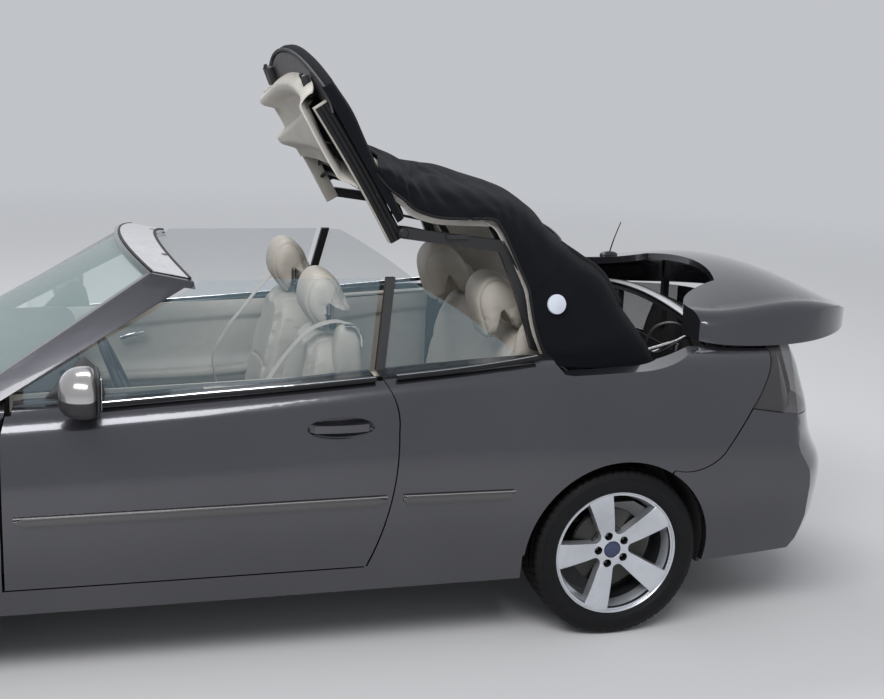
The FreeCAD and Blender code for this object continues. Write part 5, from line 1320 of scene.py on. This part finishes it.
for side, s in SIDES:
    for k in (-1, 1):
        y, name = s * SEAT_Y + k * 0.055, "_%s_%d" % (side, k + 1)
        tube("headrest_post" + name, even([(0.196, y, 1.08), (0.190, y, 1.215)], 8), ring(0.013, 0.013, 14),
             BARE_METAL, "body")
        tube("headrest_collar" + name, even([(0.197, y, 1.09), (0.195, y, 1.118)], 6),
             ring(0.034, 0.026, 16, 3), GLOSS_BLACK, "body")
    solid("belt_tower_" + side, loaf(POD, s * 0.608, s * 0.512, 3.2), TRIM, "body")
    tube("belt_guide_" + side, on_sides(GUIDE, s), ring(0.030, 0.010, 14, 3), REFLECTOR, "body", smooth=24)
    tube("belt_strap_" + side, on_sides(STRAP, s), ring(0.048, 0.0035, 12, 6), LINING, "body", smooth=80)
    base = pillow((-0.08, s * SEAT_Y, 0.315), (0.42, 0.38, 0.18), (9, 9), (20, 40))
    solid("seat_base_" + side, base, TRIM_DARK, "body")
    solid("seat_shield_" + side, loaf(SHIELD, s * 0.612, s * 0.578, 4), TRIM, "body")
tell("belts and seat bases")

# %% [markdown]
# ## Rear seat
# The bench has two places. Its back could be two shells, but the real one is a single cushion, so
# one profile is carried across the car and hollowed twice by a cosine.

# %% Rear seat: side profiles (x, z)
REAR_BACK = np.array([(0.83, 0.50), (0.99, 0.46), (1.03, 0.80), (1.02, 1.06), (0.975, 1.085), (0.90, 1.08),
                      (0.862, 1.02), (0.822, 0.85), (0.80, 0.66)])
REAR_BASE = np.array([(0.575, 0.345), (0.80, 0.335), (0.96, 0.34), (0.97, 0.48), (0.80, 0.500),
                      (0.64, 0.535), (0.565, 0.515), (0.552, 0.43)])
REAR_HEAD = np.array([(0.770, 1.040), (0.742, 1.120), (0.728, 1.180), (0.735, 1.230), (0.762, 1.268),
                      (0.806, 1.282), (0.850, 1.262), (0.900, 1.215), (0.932, 1.150), (0.938, 1.085),
                      (0.905, 1.070), (0.862, 1.130), (0.826, 1.160), (0.812, 1.100), (0.806, 1.040)])
WING = np.array([(0.86, 0.98), (1.00, 0.98), (1.018, 1.10), (0.985, 1.158), (0.93, 1.150), (0.875, 1.08)])


def two_seats(grid):
    """Hollows the bench twice: a cosine across with its low points at the two places."""
    out = grid.copy()
    shape = 0.5 - 0.5 * np.cos(grid[..., 1] / 0.56 * 2 * np.pi)
    out[..., 0] += 0.030 * shape * np.clip((0.93 - grid[..., 0]) / 0.08, 0, 1)
    return out


cushion("rear_seat_back", loaf(REAR_BACK, -0.548, 0.548, 7, 60, lean=two_seats), voxel=0.0125,
        seams=lengthwise(-0.47, -0.20, 0.20, 0.47), replaces=["rear_seat"])
cushion("rear_seat_cushion", loaf(REAR_BASE, -0.560, 0.560, 7, 60), voxel=0.0125,
        seams=lengthwise(-0.47, -0.14, 0.14, 0.47))
cushion("rear_headrest_left", loaf(REAR_HEAD, -0.480, -0.250, 3.6, columns=110), voxel=0.007, cap=0.006,
        seams=lengthwise(-0.452, -0.278), twin="rear_headrest_right")
for side, s in SIDES:
    cushion("rear_shoulder_" + side, loaf(WING, s * 0.545, s * 0.490, 2.6), voxel=0.008, cap=0.010)
tell("rear seat")

# %% [markdown]
# ## Trim laid on the panels
# Strips, seals and inner panels have to touch the body exactly, so their paths are first drawn
# in side view and then cast onto the CAD faces: the ray's meeting point gives the third measure.

# %% Casting a path onto CAD faces
TREES = {}


def cast(node, starts, direction, axis, fallback):
    """Distance from zero, along one axis, at which the rays from the starts meet the node; a ray
    that misses takes its value from its neighbours."""
    if node not in TREES:
        mesh = NODES[node].data
        TREES[node] = BVHTree.FromPolygons([v.co[:] for v in mesh.vertices],
                                           [p.vertices[:] for p in mesh.polygons])
    hits = [TREES[node].ray_cast(Vector(start), Vector(direction))[0] for start in starts]
    found = np.array([np.nan if hit is None else abs(hit[axis]) for hit in hits])
    good = np.nonzero(~np.isnan(found))[0]
    if len(good) == 0:
        return np.full(len(found), fallback)
    return np.interp(np.arange(len(found)), good, found[good])


def on_side(node, xz, s, out=0.0):
    """Points (x, z) cast from outside onto one side of a node, then moved outwards a little."""
    x, z = np.asarray(xz, float).T
    y = cast(node, [(a, s * 1.6, b) for a, b in zip(x, z)], (0, -s, 0), 1, 0.88)
    return np.stack([x, s * (y + out), z], axis=1)


def from_above(node, xy, lift=0.0, fallback=1.0):
    """Points (x, y) cast from above onto a node, then lifted a little."""
    x, y = np.asarray(xy, float).T
    z = cast(node, [(a, b, 2.4) for a, b in zip(x, y)], (0, 0, -1), 2, fallback)
    return np.stack([x, y, z + lift], axis=1)


# %% Rub strips and the painted highlight along their upper edges
PAINT_STRIP = car_paint("paint_strip", (0.075, 0.07, 0.072), 0.34)
BRIGHT_RING, SEAL_RING = ring(0.010, 0.006, 10), ring(0.022, 0.014, 14, 3)
DOOR_BELT = [(-0.640, 0.935), (-0.30, 0.955), (0.0, 0.972), (0.272, 0.990)]
QUARTER_BELT = [(0.345, 0.996), (0.55, 1.012), (0.74, 1.030), (0.86, 1.043)]


def rub_strip(name, side, s, node, body, start, end):
    """A low strip cast between two points (x, z), tapered at its ends, with a lighter tube along its upper
    edge as a painted highlight.
    """
    line = smooth_line(on_side(node, np.linspace(start, end, 60), s, 0.004), 90)
    share = np.linspace(0, 1, 90)
    taper = np.clip(np.minimum(share, share[::-1]) * 40, 0.35, 1)
    tube(name + side, line, ring(0.016, 0.034, 16, 3), PAINT_STRIP, body, size=taper)
    # Painted highlight: a tube of lighter paint along the top stands for the light caught on the strip's
    # rounded edge.
    tube(name + "edge_" + side, line + (0, s * 0.005, 0.0165), ring(0.005, 0.004, 10), MIRROR_PAINT, body)


def belt_seals(name, line_name, side, s, node, body, belt, count, drop, lift):
    """A rubber seal at the belt, cast a little below it, and the bright line inside it."""
    path = smooth_line(belt, count) - (0, drop)
    seal = on_side(node, path, s, -0.006) + (0, 0, lift)
    tube(name + side, seal, SEAL_RING, RUBBER, body)
    tube(line_name + side, seal + (0, -s * 0.004, 0.008), BRIGHT_RING, REFLECTOR, body)


for side, s in SIDES:
    door = "door_" + side
    rub_strip("door_rub_strip_", side, s, door, door, (-0.921, 0.578), (0.303, 0.583))
    rub_strip("quarter_rub_strip_", side, s, "rear_quarters", "body", (0.362, 0.583), (0.764, 0.578))
    belt_seals("belt_seal_", "belt_bright_line_", side, s, door, door, DOOR_BELT, 60, 0.020, 0.021)
    belt_seals("quarter_seal_", "quarter_bright_line_", side, s, "rear_quarters", "body", QUARTER_BELT,
               50, 0.024, 0.024)
tell("strips and seals")


# %% [markdown]
# ## Door and quarter cards
# The doors and quarters are closed inside by moulded panels. Cut from the CAD doors they would
# copy the outer skin, so each is a net whose depth is one formula: flat, with a crease under the
# belt, a swelling for the armrest and rolled edges.

# %% Inner door and quarter panels
def inner_panel(x0, x1, z0, belt, y0, s, armrest=0.0):
    """Moulded trim up to a sloping belt: y drawn in by an armrest and by a shallow curved crease
    under the belt, and rolled at the edges."""
    u, v = shares(70, 60, 0.0)
    x = x0 + (x1 - x0) * u
    top = belt(x)
    z = z0 + (top - z0) * v
    crease = top - 0.075 - 0.05 * (1 - u) ** 2
    y = y0 + 0.008 * np.tanh((crease - z) / 0.006) - 0.004
    ends = np.clip(u / 0.2, 0, 1) * np.clip((1 - u) / 0.08, 0, 1)
    y = y - armrest * np.exp(-((z - 0.62 - 0.04 * u) / 0.05) ** 2) * ends
    edge = np.minimum(np.minimum(u, 1 - u) * 12, np.minimum(v, 1 - v) * 12)
    y = y + 0.010 * np.clip(1 - edge, 0, 1) ** 2
    return np.stack([x, s * y, z], axis=-1)


def door_belt(x):
    """Height of the door card's top: a line that rises to the tail."""
    return 0.952 + 0.030 * (x + 0.9)


def quarter_belt(x):
    """Height of the quarter card's top."""
    return 0.968 + 0.062 * (x - 0.26)


DOOR_CARD = leather("door_card", (0.50, 0.475, 0.43))
DOOR_TRIM = (  # name, path, points along it, outline, finish, slot
    ("inner_handle_", [(-0.50, 0.668, 0.822), (-0.455, 0.660, 0.838), (-0.40, 0.662, 0.850)], 20,
     ring(0.014, 0.022, 14), REFLECTOR, None),
    ("armrest_pad_", [(-0.62, 0.655, 0.66), (-0.2, 0.640, 0.672), (0.10, 0.650, 0.690)], 30,
     ring(0.060, 0.040, 18, 3), LEATHER, None),
    ("inner_belt_line_", [(-0.30, 0.718, 0.955), (0.0, 0.716, 0.968), (0.225, 0.714, 0.978)], 30,
     ring(0.020, 0.012, 12, 3), TRIM, "trim"))
LEDGE = [(0.262, 0.694, 0.978), (0.56, 0.690, 0.996), (0.855, 0.682, 1.012)]
for side, s in SIDES:
    card = inner_panel(-0.925, 0.228, 0.365, door_belt, 0.694, s, 0.055)
    sheet("door_card_" + side, card, 0.004 * s, DOOR_CARD, "door_" + side)
    for name, path, count, outline, material, slot in DOOR_TRIM:
        tube(name + side, on_sides(path, s), outline, material, "door_" + side, slot, smooth=count)
    quarter = inner_panel(0.262, 0.850, 0.48, quarter_belt, 0.672, s)
    sheet("quarter_card_" + side, quarter, 0.004 * s, DOOR_CARD, "body")
    tube("quarter_ledge_" + side, on_sides(LEDGE, s), ring(0.046, 0.014, 14, 3), TRIM, "body", "trim",
         smooth=30)

# %% Carpet: two slow waves, turned up at the sills
carpet_x, carpet_y = np.meshgrid(np.linspace(-1.02, 0.56, 60), np.linspace(-0.63, 0.63, 60), indexing="ij")
carpet_z = 0.226 + 0.004 * np.sin(carpet_x * 19) * np.sin(carpet_y * 17)
carpet_z = carpet_z + 0.05 * np.clip((np.abs(carpet_y) - 0.56) / 0.07, 0, 1) ** 2
sheet("carpet", np.stack([carpet_x, carpet_y, carpet_z], axis=-1), 0.003, CARPET, "body")
tell("cards and carpet")


# %% [markdown]
# ## Door mirrors
# A mirror is a bright shell over a dark foot. Both are superellipsoids, which are rounder than a
# bevelled box and fuller than a ball; the half that faces the tail is flattened for the glass.

# %% Door mirrors: bright shell, dark foot and glass
def egg(points):
    """Flattens the half that looks to the tail, where the glass is."""
    out = points.copy()
    out[..., 0] = np.where(points[..., 0] > 0, points[..., 0] * 0.52, points[..., 0])
    return out


MIRROR_AT = np.array([-0.690, 0.950, 1.022])
MIRROR_PARTS = (  # name, offset from the mirror's middle, size, powers, points, shape, finish
    ("base_", (0.001, 0, -0.030), (0.170, 0.208, 0.100), (2.6, 2.4), (30, 56), egg, BLACK_PLASTIC),
    ("rim_", (0.036, 0, 0), (0.020, 0.186, 0.132), (5, 2.6), (20, 48), None, BLACK_PLASTIC),
    ("glass_", (0.045, 0, 0), (0.008, 0.166, 0.112), (5, 2.6), (14, 40), None, REFLECTOR))
MIRROR_ARM = [(-0.700, 0.738, 0.972), (-0.702, 0.80, 0.982), (-0.700, 0.875, 1.000)]
MIRROR_SAIL = [(-0.820, 0.742, 0.945), (-0.690, 0.700, 1.078), (-0.640, 0.722, 1.035), (-0.620, 0.745, 0.945)]
for side, s in SIDES:
    door, centre = "door_" + side, on_sides(MIRROR_AT, s)
    shell = pillow(centre, (0.166, 0.205, 0.150), (2.4, 2.4), (40, 56), egg)
    solid("mirror_shell_" + side, shell, MIRROR_PAINT, door, ["mirror_" + side])
    for name, offset, size, power, count, shape, material in MIRROR_PARTS:
        solid("mirror_" + name + side, pillow(centre + offset, size, power, count, shape), material, door)
    tube("mirror_arm_" + side, on_sides(MIRROR_ARM, s), ring(0.080, 0.040, 20, 3), BLACK_PLASTIC, door,
         side=(1, 0, 0), smooth=16)
    plate("mirror_sail_" + side, on_sides(MIRROR_SAIL, s), 0.016, BLACK_PLASTIC, door)
tell("mirrors")

# %% [markdown]
# ## Windscreen header
# The roof's front edge lands on a bright shell over the windscreen's top bar. The shell could be
# lofted by itself, but cast onto the bar from above it lies on it all along its curve.

# %% Windscreen header: bright shell over the bar, seals and latch holes
HALF_HEADER = 0.59
SEALS = (("header_seal_front", 0.03, 0.010), ("header_groove", 0.55, 0.005),
         ("header_seal_rear", 0.98, 0.013))  # name, share of the shell's depth, width
span = np.linspace(-0.565, 0.565, 70)
bend = (span / HALF_HEADER) ** 2
front_x, rear_x = -0.535 + 0.083 * bend, -0.394 + 0.074 * bend
depth_share = np.linspace(0, 1, 16)
shell = [from_above("windscreen_frame", [(f + (r - f) * k, y) for k in depth_share], 0.0025, 1.36)
         for f, r, y in zip(front_x, rear_x, span)]
sheet("header_shell", np.stack(shell), 0.0015, HEADER, "body")
for name, k, size in SEALS:
    places = zip(front_x + (rear_x - front_x) * k, span)
    line = np.array([from_above("windscreen_frame", [place], 0.002, 1.35)[0] for place in places])
    tube(name, line, ring(size, size * 0.8, 10), RUBBER, "body", side=(1, 0, 0))
for side, s in SIDES:
    y = s * 0.30
    at = from_above("windscreen_frame", [(-0.412 + 0.074 * (y / HALF_HEADER) ** 2, y)], 0.003, 1.36)[0]
    # Each latch hole is a gloss-black pad on the shell: painted shade for the dark inside of the hole.
    hole = pillow(at, (0.022, 0.034, 0.006), (4, 3), (12, 24))
    solid("header_latch_hole_" + side, hole, GLOSS_BLACK, "body")
tell("header")

# %% [markdown]
# ## Tail and folding mechanism
# With the deck raised, the well shows its rams, hoses and links. They are rods of several
# thicknesses. A ram's rod is thinner than its barrel, so its path carries a size for each point.

# %% Strip in front of the deck, and the antenna
strip_y = np.linspace(-0.645, 0.645, 60)
strip_arc = np.stack([np.full(60, 1.630), strip_y, 1.052 + 0.066 * (1 - (strip_y / 0.652) ** 2)], axis=1)
tube("well_strip", strip_arc, ring(0.046, 0.012, 14, 3), HEADER, "body", "header_shell", side=(1, 0, 0))
tube("well_strip_seal", strip_arc + (0.010, 0, 0.006), ring(0.007, 0.006, 10), RUBBER, "body", side=(1, 0, 0))
antenna_foot = from_above("deck_panel", [(1.640, 0.490)], 0.004, 1.25)[0]
mast = antenna_foot + np.array([(0, 0, 0), (0.022, 0, 0.075), (0.050, 0, 0.150)])
tube("antenna_mast", mast, ring(0.0055, 0.0055, 10), RUBBER, "body", size=np.linspace(1.2, 0.7, 24),
     smooth=24)
foot = pillow(antenna_foot, (0.085, 0.036, 0.036), (2.4, 2.4), (20, 30))
solid("antenna_foot", foot, GLOSS_BLACK, "body")

# %% Folding mechanism in the well: rams, whose rods are thinner than their barrels, hose and link
RAMS = (((1.15, 0.52, 0.93), (1.52, 0.50, 1.02), 0.026, BARE_METAL),
        ((1.30, 0.54, 0.92), (1.60, 0.55, 1.00), 0.016, DARK_METAL),
        ((1.38, 0.44, 0.93), (1.58, 0.52, 1.06), 0.012, BARE_METAL),
        ((1.48, 0.56, 0.90), (1.50, 0.57, 1.03), 0.020, BARE_METAL),
        ((1.56, 0.47, 0.92), (1.60, 0.58, 1.01), 0.018, REFLECTOR))
HOSE = [(1.16, 0.50, 0.94), (1.30, 0.46, 1.02), (1.44, 0.50, 0.98), (1.56, 0.54, 1.05), (1.62, 0.56, 1.02)]
HOOP = [(1.42, 0.40, 0.94), (1.47, 0.42, 1.06), (1.55, 0.47, 1.08), (1.60, 0.52, 0.98)]
RAM_STEPS, BARREL_STEPS = 14, 8
rod_share = np.where(np.arange(RAM_STEPS) < BARREL_STEPS, 1.0, 0.6)
for side, s in SIDES:
    for i, (start, end, size, material) in enumerate(RAMS):
        path = even(on_sides([start, end], s), RAM_STEPS)
        tube("fold_ram_%s_%d" % (side, i), path, ring(size, size, 14), material, "body", size=rod_share)
    tube("fold_hose_" + side, on_sides(HOSE, s), ring(0.010, 0.010, 10), RUBBER, "body", smooth=60)
    tube("fold_link_" + side, on_sides(HOOP, s), ring(0.016, 0.010, 10), DARK_METAL, "body", smooth=40)
tell("tail and folding mechanism")

# %% [markdown]
# ## Disc on the cloth
# A plain pale disc lies on the cloth behind the side window. It is put at the point of the cloth
# nearest to its place, and turned to the cloth's own normal there, so that it lies flat.

# %% Plain pale disc on the cloth: a flat drum on the cloth's own normal
DISC_AIM = np.array([0.976, -0.62, 1.205])
DISC_RINGS = [(0.0, 0.010), (0.034, 0.010), (0.036, 0.009), (0.036, -0.006), (0.0, -0.006)]  # radius, height
nearest = np.unravel_index(np.argmin(np.linalg.norm(cover - DISC_AIM, axis=-1)), cover.shape[:2])
place, out = cover[nearest], normals(cover)[nearest]
out = out if out[1] < 0 else -out
across = np.cross(out, (0, 0, 1.0))
across /= np.linalg.norm(across)
a = np.linspace(0, 2 * np.pi, 40, endpoint=False)[:, None]
circle = np.cos(a) * across + np.sin(a) * np.cross(across, out)
disc = np.stack([place + r * circle + out * h for r, h in DISC_RINGS])
solid("cloth_disc", disc, grained("pale_disc", (0.62, 0.66, 0.74), 0.5), "roof_rear")
tell("disc")


# %% [markdown]
# ## Studio
# The floor is a wide pale disc and the world is a soft pale sky. One large lamp above on the left
# and a weaker one behind give the paint soft highlights and leave a quiet shadow under the car.

# %% Floor, sky and lamps
SKY_COLOR, SKY_STRENGTH = (0.86, 0.885, 0.93), 0.62
FLOOR_COLOR, BLACK = (0.62, 0.62, 0.625), (0.0, 0.0, 0.0)
FLOOR_RADII = np.array([0.0, 3.0, 9.0, 60.0])


def floor_finish():
    """Pale floor that turns into the sky's own colour and glow far from the car, so that no
    horizon shows: the share grows with the distance (x^2 + y^2)^0.5."""
    made = Finish("floor_pale", FLOOR_COLOR, 0.85, Emission_Strength=SKY_STRENGTH, Specular_IOR_Level=0.0)
    at = made.place()
    distance = (made.axis("X", at) ** 2.0 + made.axis("Y", at) ** 2.0) ** 0.5
    far_off = distance.above(9.0, 11.0)
    made.feed("Base Color", made.mix(far_off, FLOOR_COLOR, BLACK))
    made.feed("Emission Color", made.mix(far_off, BLACK, SKY_COLOR))
    return made.material


a = np.linspace(0, 2 * np.pi, 96, endpoint=False)
ground = np.stack([np.outer(FLOOR_RADII, np.cos(a)), np.outer(FLOOR_RADII, np.sin(a)),
                   np.zeros((len(FLOOR_RADII), len(a)))], axis=-1)
floor = build("floor", [(ground, False, True)], floor_finish(), None, closed=False)

world = bpy.data.worlds.new("studio")
bpy.context.scene.world = world
world.use_nodes = True
background = world.node_tree.nodes["Background"]
background.inputs["Color"].default_value = (*SKY_COLOR, 1.0)
background.inputs["Strength"].default_value = SKY_STRENGTH


# %% Lamps
def softbox(name, place, target, size, power):
    """A rectangular lamp of that size, aimed at a point."""
    data = bpy.data.lights.new(name, "AREA")
    data.shape, data.energy = "RECTANGLE", power
    data.size, data.size_y = size
    lamp = bpy.data.objects.new(name, data)
    COLLECTION.objects.link(lamp)
    away = np.asarray(place, float) - np.asarray(target, float)
    away /= np.linalg.norm(away)
    side = np.cross((0, 0, 1.0), away)
    side /= np.linalg.norm(side)
    matrix = np.eye(4)
    matrix[:3, :3] = np.stack([side, np.cross(away, side), away], axis=1)
    matrix[:3, 3] = place
    lamp.matrix_world = Matrix(matrix.tolist())


softbox("key_lamp", (-2.5, -5.5, 7.0), (0.2, 0.0, 0.7), (7.0, 3.0), 520)
softbox("back_lamp", (0.5, 5.0, 8.0), (0.5, 0.0, 0.8), (6.0, 2.5), 300)
